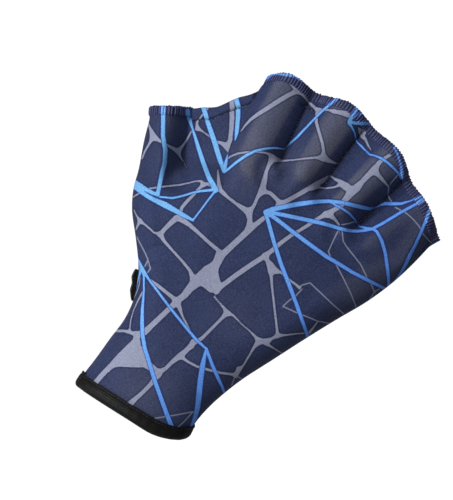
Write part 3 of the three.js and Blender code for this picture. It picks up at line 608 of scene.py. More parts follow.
hairLines = [
    [(137, 237, 1), (144, 249.6, 1), (148.4, 258.6, 1.2), (151.2, 268.4, 1.2), (148.4, 272, 1)],
    [(148.4, 260, 1.2), (145.6, 265.8, 1)],
    [(298.6, 287, 1.4), (301, 284.5, 1.4), (308.9, 282.2, 1.2), (318.8, 291.6, 1.4),
     (331.6, 303.6, 1.4), (345, 315, 1.2)],
    [(300.6, 289, 1), (294.6, 295.2, 1.2), (288.4, 299.6, 1.2), (282, 305.4, 1.2),
     (295.4, 311.6, 1.3), (308.4, 316.8, 1.3), (316.8, 320.4, 1.4), (329, 323, 1)],
    [(390.5, 183, 1), (395.9, 176.6, .9), (397.5, 175, .6)],
    [(388.3, 187, 1.2), (388.3, 194.5, 1.1), (389.6, 198, 1), (391.6, 201, 1)],
    [(341.4, 224.8, 1), (348.6, 223.3, 1), (356, 221, .8)],
    [(336.4, 231.8, .9), (331.6, 241.6, 1), (327.2, 251.4, 1.2), (330, 258.4, 1.2),
     (335.2, 264.8, 1.2), (341.4, 276.4, 1.3), (349.5, 292.5, 1.4), (357, 309.4, 1.4)],
    [(341, 231.8, 1), (341.9, 240.7, 1.1), (345, 246, 1.2), (353, 256, 1.4), (359.4, 264, 1.4),
     (365.6, 276.4, 1.4), (371, 285.4, 1.3), (374, 291.6, 1.3), (370, 299, 1.1)],
    [(374, 291.6, 1.1), (379, 288.8, .9)],
    [(395.9, 207.7, 1), (405.7, 213, 1), (413, 219.3, 1.2), (419, 226.4, 1.1), (423.6, 234.6, 1),
     (431.6, 241.6, 1.1), (434.4, 245, 1)],
    [(152.5, 416.1, 1.2), (175.6, 412.9, 1.3), (193.4, 410, 1.4), (185, 419.3, 1.3),
     (176.6, 426.7, 1.3)],
    [(235.4, 374, 1.4), (231.6, 384, 1.1)],
    [(235.4, 374, 1.2), (243, 379.4, 1)],
]


# A charted line in the outline plane: the sheet's turn and step undone, and the half breadths
def fromSheet(line):
    line = np.array(line, float)
    c, s = math.cos(math.radians(sheet["turn"])), math.sin(math.radians(sheet["turn"]))
    u, v = (line[:, 0] - sheet["u"]) * sheet["step"], (line[:, 1] - sheet["v"]) * sheet["step"]
    return np.stack([u * c + v * s, u * s - v * c], -1), line[:, 2] * sheet["step"] / 2


# Union of two distances whose corners are filled in over the breadth k
def softUnion(a, b, k):
    h = np.maximum(k - np.abs(a - b), 0) / k
    return np.minimum(a, b) - h * h * k / 4


noPrint = 5.0  # a field's value in millimetres where no line is near


# Distance to the drawn lines less their half breadth, and on which side of them a point lies
def lineField(p, lines, fillet=0.0):
    field, side = np.full(p.shape[:-1], noPrint), np.full(p.shape[:-1], noPrint)
    for line in lines:
        q, half = fromSheet(line)
        one, oneSide = np.full(p.shape[:-1], noPrint), np.full(p.shape[:-1], noPrint)
        for a, b, ra, rb in zip(q[:-1], q[1:], half[:-1], half[1:]):
            low, high = np.minimum(a, b) - noPrint, np.maximum(a, b) + noPrint
            near = np.all((p > low) & (p < high), axis=-1)
            fromStart, ab = p[near] - a, b - a
            t = np.clip(fromStart @ ab / (ab @ ab), 0, 1)
            d = np.linalg.norm(fromStart - t[:, None] * ab, axis=-1)
            turn = np.sign(ab[0] * fromStart[:, 1] - ab[1] * fromStart[:, 0])
            value = d - (ra + t * (rb - ra))
            closer = value < one[near]
            one[near] = np.where(closer, value, one[near])
            oneSide[near] = np.where(closer, d * turn, oneSide[near])
        side = np.where(one < field, oneSide, side)
        field = softUnion(field, one, fillet) if fillet else np.minimum(field, one)
    return field, side


# The print's fields as attributes of a piece, from its points' places on the outline plane. The
# first points are the outer face, and those past the count given have no print.
def paint(obj, vertices, outerCount, shift=(0, 0)):
    p = np.asarray(vertices)[:outerCount, [0, 2]] + np.array(shift)
    hair, side = lineField(p, hairLines)
    fields = {"blueEdge": np.maximum(lineField(p, blueLines)[0], -lineField(p, blueSlits)[0]),
              "greyEdge": lineField(p, greyLines, fillet=1.5)[0], "hairEdge": hair, "hairSide": side}
    for name, values in fields.items():
        addAttribute(obj, name, np.append(values, np.full(len(vertices) - outerCount, noPrint)))


# The cloth's own lengths in millimetres as a UV map, a pair for each point
def addUv(obj, uv):
    layer = obj.data.uv_layers.new(name="cloth")
    index = np.empty(len(obj.data.loops), np.int32)
    obj.data.loops.foreach_get("vertex_index", index)
    layer.data.foreach_set("uv", np.asarray(uv, np.float32)[index].ravel())


# Node trees: a node with its settings and its inputs, each a value or another node's output
def addNode(tree, kind, inputs=None, **settings):
    n = tree.nodes.new("ShaderNode" + kind)
    for key, value in settings.items():
        setattr(n, key, value)
    for key, value in (inputs or {}).items():
        if isinstance(value, bpy.types.NodeSocket):
            tree.links.new(value, n.inputs[key])
        else:
            n.inputs[key].default_value = value
    return n


# A material with its shader's own sockets set by name
def startMaterial(name, settings):
    m = bpy.data.materials.new(name)
    m.use_nodes = True
    shader = m.node_tree.nodes["Principled BSDF"]
    for key, value in settings.items():
        shader.inputs[key].default_value = value
    return m, m.node_tree, shader


def attribute(tree, name):
    return addNode(tree, "Attribute", attribute_name=name).outputs["Fac"]


def remap(tree, value, a, b, low=0.0, high=1.0, kind="SMOOTHSTEP"):
    return addNode(tree, "MapRange", {0: value, 1: a, 2: b, 3: low, 4: high},
                   interpolation_type=kind).outputs[0]


def mixColour(tree, share, a, b):
    return addNode(tree, "Mix", {0: share, 6: a, 7: b}, data_type="RGBA").outputs[2]


def calculate(tree, kind, a, b):
    return addNode(tree, "Math", {0: a, 1: b}, operation=kind).outputs[0]


def noise(tree, place, scale, detail=2.0, rough=0.5):
    return addNode(tree, "TexNoise", {"Vector": place, "Scale": scale, "Detail": detail,
                                      "Roughness": rough}).outputs["Fac"]


def bumps(tree, shader, layers):  # (height, strength, distance in metres), one over another
    normal = None
    for height, strength, distance in layers:
        inputs = {"Height": height, "Strength": strength, "Distance": distance}
        if normal is not None:
            inputs["Normal"] = normal
        normal = addNode(tree, "Bump", inputs).outputs["Normal"]
    tree.links.new(normal, shader.inputs["Normal"])


# Jersey: rows of knitted loops in the cloth's own lengthways and sideways millimetres
def jersey(tree, pitch):
    uv = addNode(tree, "UVMap", uv_map="cloth").outputs["UV"]
    split = addNode(tree, "SeparateXYZ", {0: uv})
    turn = 2 * math.pi / pitch
    across = calculate(tree, "SINE", calculate(tree, "MULTIPLY", split.outputs[0], turn), 0.0)
    slant = calculate(tree, "MULTIPLY", calculate(tree, "ABSOLUTE", across, 0.0), 1.3)
    along = calculate(tree, "ADD", calculate(tree, "MULTIPLY", split.outputs[1], turn), slant)
    rows = calculate(tree, "SINE", along, 0.0)
    return calculate(tree, "ADD", calculate(tree, "ABSOLUTE", across, 0.0),
                     calculate(tree, "MULTIPLY", rows, 0.5))


clothLook = {"ground": (.018, .028, .086, 1), "groundDark": (.013, .020, .066, 1),
             "fleck": (.046, .060, .130, 1), "grey": (.275, .295, .405, 1),
             "greyFleck": (.175, .195, .29, 1),
             "blue": (.115, .30, .82, 1), "bluePaleLit": (.180, .44, .76, 1),
             "blueRim": (.012, .05, .30, 1), "halo": (.008, .011, .040, 1),
             "stretchedLit": (.128, .130, .168, 1), "loopShade": (.01, .01, .02, 1),
             "seamShade": (.002, .003, .008, 1)}


# Navy jersey with flecks, and pale spots and ridges that are partly pulled, worn cloth and partly painted
# highlight. Over it come the dark halo, the grey and hair lines and the blue lines with their rim, each
# where its field passes a distance.
def printedCloth():
    m, tree, shader = startMaterial("printed_cloth", {
        "Roughness": 0.75, "Specular IOR Level": 0.16, "Sheen Weight": 0.06,
        "Sheen Roughness": 0.4, "Sheen Tint": (.75, .78, 1, 1)})
    knit = jersey(tree, 0.62)
    place = addNode(tree, "TexCoord").outputs["Object"]
    fuzz = noise(tree, place, 2600, 2)
    speck = noise(tree, place, 1700, 2, 0.7)
    cloud = noise(tree, place, 60, 3)
    bleed = remap(tree, fuzz, 0.3, 0.7, -0.07, 0.07, "LINEAR")
    blue = calculate(tree, "ADD", attribute(tree, "blueEdge"), bleed)
    grey = calculate(tree, "ADD", attribute(tree, "greyEdge"), bleed)
    hairSide = calculate(tree, "ABSOLUTE", attribute(tree, "hairSide"), 0.0)
    base = mixColour(tree, remap(tree, cloud, 0.3, 0.7), clothLook["groundDark"], clothLook["ground"])
    base = mixColour(tree, remap(tree, speck, 0.38, 0.68, 0.0, 0.75), base, clothLook["fleck"])
    # Painted highlight and wear: pale brownish grey on the finger ridges and the round spots
    stretchWearLight = calculate(tree, "MULTIPLY", attribute(tree, "stretchWearLight"),
                        remap(tree, speck, 0.32, 0.68, 0.45, 0.85))
    base = mixColour(tree, stretchWearLight, base, clothLook["stretchedLit"])
    nearest = calculate(tree, "MINIMUM", blue, grey)
    base = mixColour(tree, remap(tree, nearest, 0.0, 1.0, 0.72, 0.0), base, clothLook["halo"])
    greyTone = mixColour(tree, remap(tree, speck, 0.4, 0.66, 0.0, 0.7), clothLook["grey"],
                         clothLook["greyFleck"])
    base = mixColour(tree, remap(tree, grey, 0.12, -0.22), base, greyTone)
    hair = calculate(tree, "MULTIPLY", remap(tree, hairSide, 0.42, 0.1, 0.0, 0.8),
                     remap(tree, attribute(tree, "hairEdge"), 0.9, 0.5))
    base = mixColour(tree, hair, base, clothLook["grey"])
    base = mixColour(tree, remap(tree, blue, 0.36, -0.02), base, clothLook["blueRim"])
    # Painted light: the blue lines go paler towards the upper left, the side the key lamp lights
    split = addNode(tree, "SeparateXYZ", {0: place})
    slope = calculate(tree, "SUBTRACT", calculate(tree, "MULTIPLY", split.outputs[2], 0.4), split.outputs[0])
    litToUpperLeft = remap(tree, calculate(tree, "ADD", slope, calculate(tree, "MULTIPLY", cloud, 0.03)), -0.02, 0.09)
    blueTone = mixColour(tree, litToUpperLeft, clothLook["blue"], clothLook["bluePaleLit"])
    blueTone = mixColour(tree, remap(tree, speck, 0.45, 0.66, 0.0, 0.35), blueTone, clothLook["blueRim"])
    base = mixColour(tree, remap(tree, blue, 0.02, -0.26), base, blueTone)
    base = mixColour(tree, remap(tree, knit, 0.0, 0.5, 0.25, 0.0), base, clothLook["loopShade"])
    base = mixColour(tree, remap(tree, attribute(tree, "seam"), 0.9, 0.15, 0.0, 0.65), base,
                     clothLook["seamShade"])
    tree.links.new(base, shader.inputs["Base Color"])
    tree.links.new(remap(tree, speck, 0.3, 0.7, 0.66, 0.84, "LINEAR"), shader.inputs["Roughness"])
    bumps(tree, shader, [(knit, 0.30, 0.00012), (fuzz, 0.25, 0.00015), (speck, 0.3, 0.0003)])
    return m


# One colour of jersey with lighter flecks and shade between the loops
def plainCloth(name, colour, light, roughness, knitPitch, sheen, depth):
    m, tree, shader = startMaterial(name, {
        "Roughness": roughness, "Specular IOR Level": 0.14, "Sheen Weight": sheen,
        "Sheen Roughness": 0.5})
    knit = jersey(tree, knitPitch)
    place = addNode(tree, "TexCoord").outputs["Object"]
    fuzz, speck = noise(tree, place, 2400, 2), noise(tree, place, 900, 4, 0.65)
    base = mixColour(tree, remap(tree, speck, 0.3, 0.75), colour, light)
    base = mixColour(tree, remap(tree, knit, 0.0, 0.5, 0.4, 0.0), base, (.004, .004, .005, 1))
    tree.links.new(base, shader.inputs["Base Color"])
    tree.links.new(remap(tree, fuzz, 0.3, 0.7, roughness - .08, roughness + .08, "LINEAR"),
                   shader.inputs["Roughness"])
    bumps(tree, shader, [(knit, 0.5, depth), (fuzz, 0.35, 0.0002)])
    return m


threadLook = {"dark": (.020, .026, .088, 1), "light": (.048, .058, .155, 1),
              "fleck": (.03, .034, .13, 1), "core": (.019, .025, .076, 1),
              "blueRim": (.03, .11, .50, 1), "blue": (.22, .50, .90, 1)}


# Overlocked edge: pale navy thread over dark cloth, blue where the print runs by on the back
def threadCloth():
    m, tree, shader = startMaterial("overlock_thread", {
        "Roughness": 0.5, "Specular IOR Level": 0.35, "Sheen Weight": 0.15, "Sheen Roughness": 0.4})
    place = addNode(tree, "TexCoord").outputs["Object"]
    fuzz, speck = noise(tree, place, 3000, 2), noise(tree, place, 700, 2)
    tone, core = attribute(tree, "tone"), attribute(tree, "core")
    base = mixColour(tree, tone, threadLook["dark"], threadLook["light"])
    base = mixColour(tree, remap(tree, speck, 0.35, 0.65, 0.0, 0.5), base, threadLook["fleck"])
    base = mixColour(tree, core, base, threadLook["core"])
    printedHere = attribute(tree, "printed")
    blue = calculate(tree, "SUBTRACT", noPrint, attribute(tree, "blueEdge"))
    blue = calculate(tree, "SUBTRACT", noPrint, calculate(tree, "MULTIPLY", blue, printedHere))
    base = mixColour(tree, remap(tree, blue, 0.6, -0.1, 0.0, 0.8), base, threadLook["blueRim"])
    inLine = calculate(tree, "MULTIPLY", remap(tree, blue, 0.25, -0.35),
                       calculate(tree, "ADD", 0.45, calculate(tree, "MULTIPLY", core, 0.5)))
    base = mixColour(tree, inLine, base, threadLook["blue"])
    tree.links.new(base, shader.inputs["Base Color"])
    tree.links.new(remap(tree, fuzz, 0.3, 0.7, 0.42, 0.62, "LINEAR"), shader.inputs["Roughness"])
    bumps(tree, shader, [(fuzz, 0.5, 0.00012), (speck, 0.2, 0.0002)])
    return m


# Sewing thread in one colour with a little sheen
def threadPlain(name, colour, light):
    m, tree, shader = startMaterial(name, {"Roughness": 0.55, "Specular IOR Level": 0.35,
                                           "Sheen Weight": 0.15})
    place = addNode(tree, "TexCoord").outputs["Object"]
    fuzz, speck = noise(tree, place, 3200, 2), noise(tree, place, 500, 2)
    tree.links.new(mixColour(tree, remap(tree, speck, 0.4, 0.6), colour, light),
                   shader.inputs["Base Color"])
    tree.links.new(remap(tree, fuzz, 0.3, 0.7, 0.45, 0.7, "LINEAR"), shader.inputs["Roughness"])
    bumps(tree, shader, [(fuzz, 0.4, 0.0001)])
    return m


printed = printedCloth()
blackJersey = plainCloth("black_jersey", (.011, .011, .013, 1), (.028, .028, .032, 1), 0.78, 0.7, .1,
                         .00014)
tapeCloth = plainCloth("ribbed_tape", (.003, .003, .0035, 1), (.007, .007, .008, 1), 0.5, 1.1, .02,
                       .00012)
strapCloth = plainCloth("loop_cloth", (.010, .010, .011, 1), (.03, .03, .032, 1), 0.9, 1.4, .35, .0004)
thread = threadCloth()
stitchThread = threadPlain("stitch_thread", (.008, .010, .024, 1), (.10, .11, .16, 1))
blackThread = threadPlain("black_thread", (.012, .012, .014, 1), (.03, .03, .035, 1))
print("materials made")


# Places across the grid for each row, so that the steps are even along the cloth
def evenPlaces(t, count, palm, dense=900):
    base = 0.5 - 0.5 * np.cos(np.pi * np.linspace(0, 1, dense))
    probe = np.linspace(t[0], t[-1], 60)
    points = clothPoint(base[None, :], probe[:, None], palm, detail=False)
    step = np.linalg.norm(np.diff(points, axis=1), axis=-1)
    kernel = np.array([1, 2, 3, 2, 1]) / 9
    padded = np.vstack([step[:1], step[:1], step, step[-1:], step[-1:]])
    step = sum(w * padded[i:i + len(step)] for i, w in enumerate(kernel))
    s = np.concatenate([np.zeros((len(probe), 1)), np.cumsum(step, axis=1)], axis=1)
    s /= s[:, -1:]
    share = np.linspace(0, 1, count)
    table = np.stack([np.interp(share, row, base) for row in s])
    where = (t - t[0]) / (t[-1] - t[0]) * (len(probe) - 1)
    low = np.clip(np.floor(where).astype(int), 0, len(probe) - 2)
    part = (where - low)[:, None]
    return table[low] * (1 - part) + table[low + 1] * part


# The cloth's inner side: a wall's thickness in from the outer face along its normal, which is
# turned level with the cut edges, and never past the middle surface where the panels meet
def innerPoint(across, t, palm, wall):
    point, normal = clothFrame(across, t, palm, detail=False)
    sign = 1 if palm else -1
    p = planPoint(across, t)
    flatten = (1 - ease(0, .6, fullness(p)))[..., None]
    normal = normal * (1 - flatten) + np.array([0, sign, 0]) * flatten
    top = ease(.9, 1, t)[..., None]
    lean = edgeLean(across)
    axis = np.stack([lean[..., 0], np.zeros_like(across), lean[..., 1]], -1)
    normal = normal - top * (normal * axis).sum(-1, keepdims=True) * axis
    foot = (1 - ease(0, .1, t))[..., None]
    normal = normal * (1 - foot * np.array([0, 0, 1.0]))
    normal /= np.maximum(np.linalg.norm(normal, axis=-1, keepdims=True), 1e-9)
    height = np.abs(point[..., 1] - middleDepth(across, t))
    least = glove["seam"] / 2
    inwards = wall * np.abs(normal[..., 1])
    share = np.where(inwards > height - least, np.maximum(height - least, 0) / np.maximum(inwards, 1e-6), 1)
    inside = point - normal * (wall * share)[..., None]
    breadth = np.linalg.norm(planPoint(1, t) - planPoint(0, t), axis=-1)
    middle = middleDepth(np.clip(across + (inside[..., 0] - point[..., 0]) / breadth, 0, 1), t)
    if palm:
        inside[..., 1] = np.maximum(inside[..., 1], middle + least)
    else:
        inside[..., 1] = np.minimum(inside[..., 1], middle - least)
    return inside


# A panel: rows from the cuff up and even steps across. Its cloth lengths become the UV map.
# Where a hem covers its top it runs a little further up.
def buildPanel(name, node, palm, columns, rowCount, material):
    t = np.linspace(0, 1, rowCount)
    across = evenPlaces(t, columns, palm)
    underHem = 1 - ease(.113, .119, across) * (1 - ease(.284, .298, across))
    tt = t[:, None] * (1 + underHem * 1.5 / glove["run"])
    outer = clothPoint(across, tt, palm)
    inner = innerPoint(across[::3, ::3], tt[::3, ::3], palm, glove["wall"])
    for grid in (outer, inner):                       # the two panels lap a hair at the side seams
        grid[:, [0, -1], 1] += (-1.5 if palm else 1.5) * glove["seam"]
    vertices, faces = wallPiece(outer, inner)
    faces = outwards(vertices, faces)
    obj = newPiece(name, vertices, faces, material, node)
    sideways = np.concatenate([np.zeros((rowCount, 1)),
                               np.cumsum(np.linalg.norm(np.diff(outer, axis=1), axis=-1), axis=1)], 1)
    sideways -= sideways[:, columns // 2:columns // 2 + 1]
    upward = np.concatenate([np.zeros((1, columns)),
                             np.cumsum(np.linalg.norm(np.diff(outer, axis=0), axis=-1), axis=0)])
    uv = np.stack([sideways, upward], -1)
    addUv(obj, np.concatenate([uv.reshape(-1, 2), uv[::3, ::3].reshape(-1, 2)]))
    return obj, vertices, across, tt


# How far the cloth stands above the mean of its neighbours to either side: high on the ridges of
# the finger tubes, where the jersey is pulled and its pale core shows through and where a highlight is
# painted
def ridgeOf(across, t, span=8.5):
    width = np.linalg.norm(planPoint(1, t) - planPoint(0, t), axis=-1)
    step = span / width
    mid = outerHeight(across, t, False, False)
    left = outerHeight(np.clip(across - step, 0, 1), t, False, False)
    right = outerHeight(np.clip(across + step, 0, 1), t, False, False)
    return mid - (left + right) / 2


# Round pale spots: partly wear and partly painted light, as on the wrist and the middle finger's knuckle
wornAndLitPatches = [(-4, 126, 15, .24), (-46, 126, 7, .20), (-39, 110, 8, .14), (2, 12, 15, .32),
               (18.3, 135.6, 8, .35), (42, 128, 7, .22), (22, 60, 12, .12)]  # x, z, breadth and strength


# How far the cloth is painted pale: the ridges of the fingers, less on the little finger's side,
# as pulled jersey and painted highlight, and round spots, partly wear and partly painted light
def stretchWearLightOf(across, t):
    ridge = ridgeOf(across, t)
    p = planPoint(across, t)
    wornAndLit = sum(much * np.exp(-((p[..., 0] - x) ** 2 + (p[..., 1] - z) ** 2) / broad ** 2)
               for x, z, broad, much in wornAndLitPatches)
    patchy = 0.8 + 0.2 * np.sin(p[..., 0] / 9 + 1) * np.sin(p[..., 1] / 13)
    fading = 1 - 0.6 * ease(.62, .92, across)
    ridgeSheen = ease(0.2, 3.4, ridge) * ease(.56, .72, t) * ease(.26, .32, across) * patchy * fading
    return np.maximum(ridgeSheen, 0) * 0.9 + wornAndLit * (1 - 0.7 * ridgeSheen)


# Columns and rows are a multiple of three and one more, for the inner grid of every third point
back, backVertices, backAcross, backT = buildPanel("back_cloth", "back_panel", False, 301, 262, printed)
palmObj, *_ = buildPanel("palm_cloth", "palm_panel", True, 220, 190, blackJersey)
paint(back, backVertices, backAcross.size)
# The pale tone of pulled and worn cloth, with painted highlight on the ridges and painted light on the spots
stretchWearLight = stretchWearLightOf(backAcross, backT)
addAttribute(back, "stretchWearLight", np.concatenate([stretchWearLight.ravel(), stretchWearLight[::3, ::3].ravel()]))
seam = np.min([curveDistance(planPoint(backAcross, backT), curve)[0] for curve in seamCurves], axis=0)
addAttribute(back, "seam", np.concatenate([seam.ravel(), seam[::3, ::3].ravel()]))
print("panels made")

hem = {"pitch": 1.42, "radius": 0.47, "swell": 0.28, "high": 4.85, "sides": 6}


# Places from one end of a stretch of the upper edge to the other, evenly spaced along the cloth
def placesAlong(first, last, palm, pitch, beyond=3.0):
    base = np.linspace(first, last, 3000)
    points = clothPoint(base, 1 + beyond / glove["run"], palm)
    s = np.concatenate([[0], np.cumsum(np.linalg.norm(np.diff(points, axis=0), axis=1))])
    count = max(int(s[-1] / pitch), 2)
    return np.interp(np.linspace(0, s[-1], count), s, base)


# The hem's cloth under the thread: a flat loop round the wall's section. The outer face swells
# a little and the upper edge is half a circle.
def hemCore(first, last, palm, foot):
    places = placesAlong(first, last, palm, 0.9)
    turn = np.linspace(0, np.pi, 7)[1:-1]
    rise = np.linspace(0, 1, 6)
    t = 1 + (foot + 0.3 + (hem["high"] - 0.7 - foot) * rise) / glove["run"]
    across, tt = np.broadcast_arrays(places[:, None], t[None, :])
    outer, normal = clothFrame(across, tt, palm, detail=False)
    outer = outer + normal * (hem["swell"] * 0.4)
    inner = innerPoint(across, np.minimum(tt, 1.07), palm, glove["wall"] * 0.8)
    lean = edgeLean(places)
    up = np.stack([lean[:, 0], np.zeros(len(places)), lean[:, 1]], -1)
    middle, half = (outer[:, -1] + inner[:, -1]) / 2, (outer[:, -1] - inner[:, -1]) / 2
    cap = (middle[:, None] + half[:, None] * np.cos(turn)[None, :, None]
           + up[:, None] * np.sin(turn)[None, :, None] * 0.95)
    loop = np.concatenate([outer, cap, inner[:, ::-1]], 1)
    rows, columns = loop.shape[:2]
    faces = gridFaces(rows, columns, loopColumns=True).tolist()
    faces += [list(range(columns))[::-1], [(rows - 1) * columns + k for k in range(columns)]]
    vertices = loop.reshape(-1, 3)
    outside = np.tile(np.arange(columns) < 9, rows)
    return vertices, outwards(vertices, faces), outside


# Thread over the hem: from the panel up the outer face, over the edge and down inside
def hemThreads(first, last, palm, seed, foot):
    random = np.random.default_rng(seed)
    places = placesAlong(first, last, palm, hem["pitch"])
    places = places[1:-1] + random.normal(0, 0.0005, len(places) - 2)
    rise = foot + (hem["high"] - foot) * np.array([0, .12, .3, .5, .7, .87, 1.0])
    skew = np.array([-0.5, -0.3, -0.1, 0.1, 0.2, 0.3, 0.4]) * 0.0016
    across = places[:, None] + skew[None, :] + random.normal(0, 0.0002, (len(places), 1))
    reachUp = rise[None, :] + random.normal(0, 0.10, (len(places), 1)) * (rise[None, :] > 4)
    t = 1 + reachUp / glove["run"]
    across = np.clip(across, 0, 1)
    outer, normal = clothFrame(across, t, palm, detail=False)
    lift = hem["swell"] * np.array([0.35, 0.75, 1, 1.1, 1.1, 1, 0.8])[None, :, None]
    outer = outer + normal * lift
    inner = innerPoint(across[:, -2:], np.minimum(t[:, -2:], 1.07), palm, glove["wall"] * 0.9)[:, ::-1]
    lean = edgeLean(places)
    up = np.stack([lean[:, 0], np.zeros(len(places)), lean[:, 1]], -1)
    middle, half = (outer[:, -1] + inner[:, 0]) / 2, (outer[:, -1] - inner[:, 0]) / 2
    turn = np.array([0.25, 0.5, 0.75]) * np.pi
    cap = (middle[:, None] + half[:, None] * np.cos(turn)[None, :, None]
           + up[:, None] * np.sin(turn)[None, :, None] * 0.55)
    paths = np.concatenate([outer, cap, inner], 1)
    spread = np.linspace(0, np.pi * 0.9, paths.shape[1])
    normals = (normal[:, 2][:, None] * np.cos(spread)[None, :, None]
               + up[:, None] * np.sin(spread)[None, :, None])
    size = hem["radius"] * (1 + random.normal(0, 0.05, (len(places), 1)))
    size = size * np.concatenate([[0.7, 0.95], np.ones(paths.shape[1] - 3), [0.8]])[None, :]
    vertices, faces, each = tubes(paths, normals, size, hem["sides"], 0.8)
    tone = np.repeat(random.uniform(0, 0.7, len(places)), each)
    ring = np.append(np.repeat(np.arange(paths.shape[1]), hem["sides"]), [0, 99])
    return vertices, faces, tone, np.tile(ring < 9, len(places))


# Several shapes as one, each with its own value for all its points or one for each
def joinParts(parts):
    vertices, faces, extras, start = [], [], [], 0
    for v, f, extra in parts:
        vertices.append(v)
        faces += [[k + start for k in face] for face in f]
        extras.append(np.broadcast_to(extra, (len(v),)))
        start += len(v)
    return np.concatenate(vertices), faces, np.concatenate(extras)


# Both sides of a hem, core and threads, as one piece. A tone of 2 marks the core.
def buildHem(name, node, first, last, seed, foot):
    parts, outside = [], []
    for palm in (False, True):
        v, f, out = hemCore(first, last, palm, foot)
        parts.append((v, f, 2.0))
        outside.append(out * (not palm))
        v, f, tone, out = hemThreads(first, last, palm, seed + palm, foot)
        parts.append((v, outwards(v, f), tone))
        outside.append(out * (not palm))
    vertices, faces, tone = joinParts(parts)
    obj = newPiece(name, vertices, faces, thread, node)
    paint(obj, vertices, len(vertices))
    addAttribute(obj, "tone", tone % 2)
    addAttribute(obj, "core", tone == 2)
    addAttribute(obj, "printed", np.concatenate(outside))
    return obj


fingerHem = buildHem("finger_overlock", "finger_hem", .3, 1.0, 5, 1.1)
thumbHem = buildHem("thumb_overlock", "thumb_hem", 0.0, .1145, 9, 1.2)
print("hems made")

stitch = {"pitch": 1.55, "foldPitch": 1.5, "length": 0.95, "radius": 0.2, "foldLift": 0.2,
          "tapeLength": 1.25, "tapeRadius": 0.17, "tapeCount": 90}


# Short stitches along a path of the outline plane, each a bowed tube that dips in at its ends
def stitchRow(points, palm, pitch, seed, lift=0.12, detail=True):
    random = np.random.default_rng(seed)
    curve = smoothCurve(points, 40)
    s = np.concatenate([[0], np.cumsum(np.linalg.norm(np.diff(curve, axis=0), axis=1))])
    centres = np.arange(pitch / 2, s[-1], pitch)
    centres = centres + random.normal(0, pitch * 0.05, len(centres))
    steps = np.linspace(-0.5, 0.5, 5)
    at = centres[:, None] + steps[None, :] * stitch["length"]
    p = np.stack([np.interp(at, s, curve[:, k]) for k in (0, 1)], -1)
    across, t = gridPlace(p[..., 0], p[..., 1])
    point, normal = clothFrame(across, t, palm, detail)
    bow = lift * (1 - (2 * steps) ** 2 * 1.8)
    vertices, faces, _ = tubes(point + normal * bow[None, :, None], normal, stitch["radius"], 5, 0.8)
    return vertices, outwards(vertices, faces), 0.0


seamParts = [stitchRow(path[1:], False, stitch["pitch"], 20 + i) for i, path in enumerate(webSeams)]
seamVertices, seamFaces, _ = joinParts(seamParts)
newPiece("web_stitches", seamVertices, seamFaces, stitchThread)

fold = {"depth": 4.5, "thick": 0.8, "rows": 37, "columns": 76, "from": .1135, "to": .284,
        "crownRise": 1.25}


# The folded hem over the thumb's web: s runs from -1 at the foot on the back, over a rounded crown
# between -.35 and .35, to 1 at the foot on the palm side
def foldPoint(across, s, skin):
    sign = np.where(s < 0, -1.0, 1.0)
    leg = np.clip((np.abs(s) - 0.35) / 0.65, 0, 1)
    turn = np.clip(1 - np.abs(s) / 0.35, 0, 1) * np.pi / 2
    length = np.linalg.norm(planPoint(across, 1) - planPoint(across, 0.95), axis=-1) / 0.05
    t = 1 - leg * np.maximum(fold["depth"] - stepLeft(across), 0.9) / length
    height = np.where(sign < 0, outerHeight(across, t, False, False),
                      outerHeight(across, t, True, False))
    skin = skin * (1 - 0.7 * ease(.270, .284, across))
    puff = skin * (1.06 - leg ** 6) + 0.04 + 0.25 * np.sin(np.pi * leg) * skin
    half = (height + puff) * np.cos(turn) ** (1 - 0.12 * stepLeft(across))
    step = stepLeft(across)
    beyond = np.sin(turn) * (fold["crownRise"] - 0.8 + skin + step)
    beyond = beyond + 0.12 * np.sin(across * 90) * np.sin(turn)
    p = planPoint(across, t) + edgeLean(across) * beyond[..., None]
    y = middleDepth(across, t) + sign * half
    return np.stack([p[..., 0], y, p[..., 1]], -1)


foldS = np.linspace(-1, 1, fold["rows"])[:, None]
foldAcross = np.linspace(fold["from"], fold["to"], fold["columns"])[None, :]
foldOuter = foldPoint(*np.broadcast_arrays(foldAcross, foldS), fold["thick"])
foldInner = foldPoint(*np.broadcast_arrays(foldAcross[:, ::3], foldS[::3]), 0.0)
foldVertices, foldFaces = wallPiece(foldOuter, foldInner)
foldObj = newPiece("folded_hem", foldVertices, outwards(foldVertices, foldFaces), printed, "web_fold")
paint(foldObj, foldVertices, foldS.size * foldAcross.size, shift=(-0.5, 0.3))
addAttribute(foldObj, "stretchWearLight", np.zeros(len(foldVertices)))
addAttribute(foldObj, "seam", np.full(len(foldVertices), 9.0))
foldUv = np.stack(np.broadcast_arrays(foldAcross * 190, foldS * 9), -1)
addUv(foldObj, np.concatenate([foldUv.reshape(-1, 2), foldUv[::3, ::3].reshape(-1, 2)]))


def foldLine(below):  # a path on the panels a distance below the upper edge
    across = np.linspace(fold["from"] + .004, fold["to"] - .02, 12)
    length = np.linalg.norm(planPoint(across, 1) - planPoint(across, 0.95), axis=-1) / 0.05
    return [tuple(p) for p in planPoint(across, 1 - np.maximum(below - stepLeft(across), 1.2) / length)]


foldParts = [stitchRow(foldLine(fold["depth"] + 0.35), palm, stitch["foldPitch"], 40 + palm,
                       stitch["foldLift"], False) for palm in (False, True)]
foldStitchVertices, foldStitchFaces, _ = joinParts(foldParts)
newPiece("fold_stitches", foldStitchVertices, foldStitchFaces, stitchThread)
print("fold made")

tape = {"height": 6.1, "thick": 0.85, "inset": 2.75, "bulge": 0.75, "low": -0.6, "columns": 420}


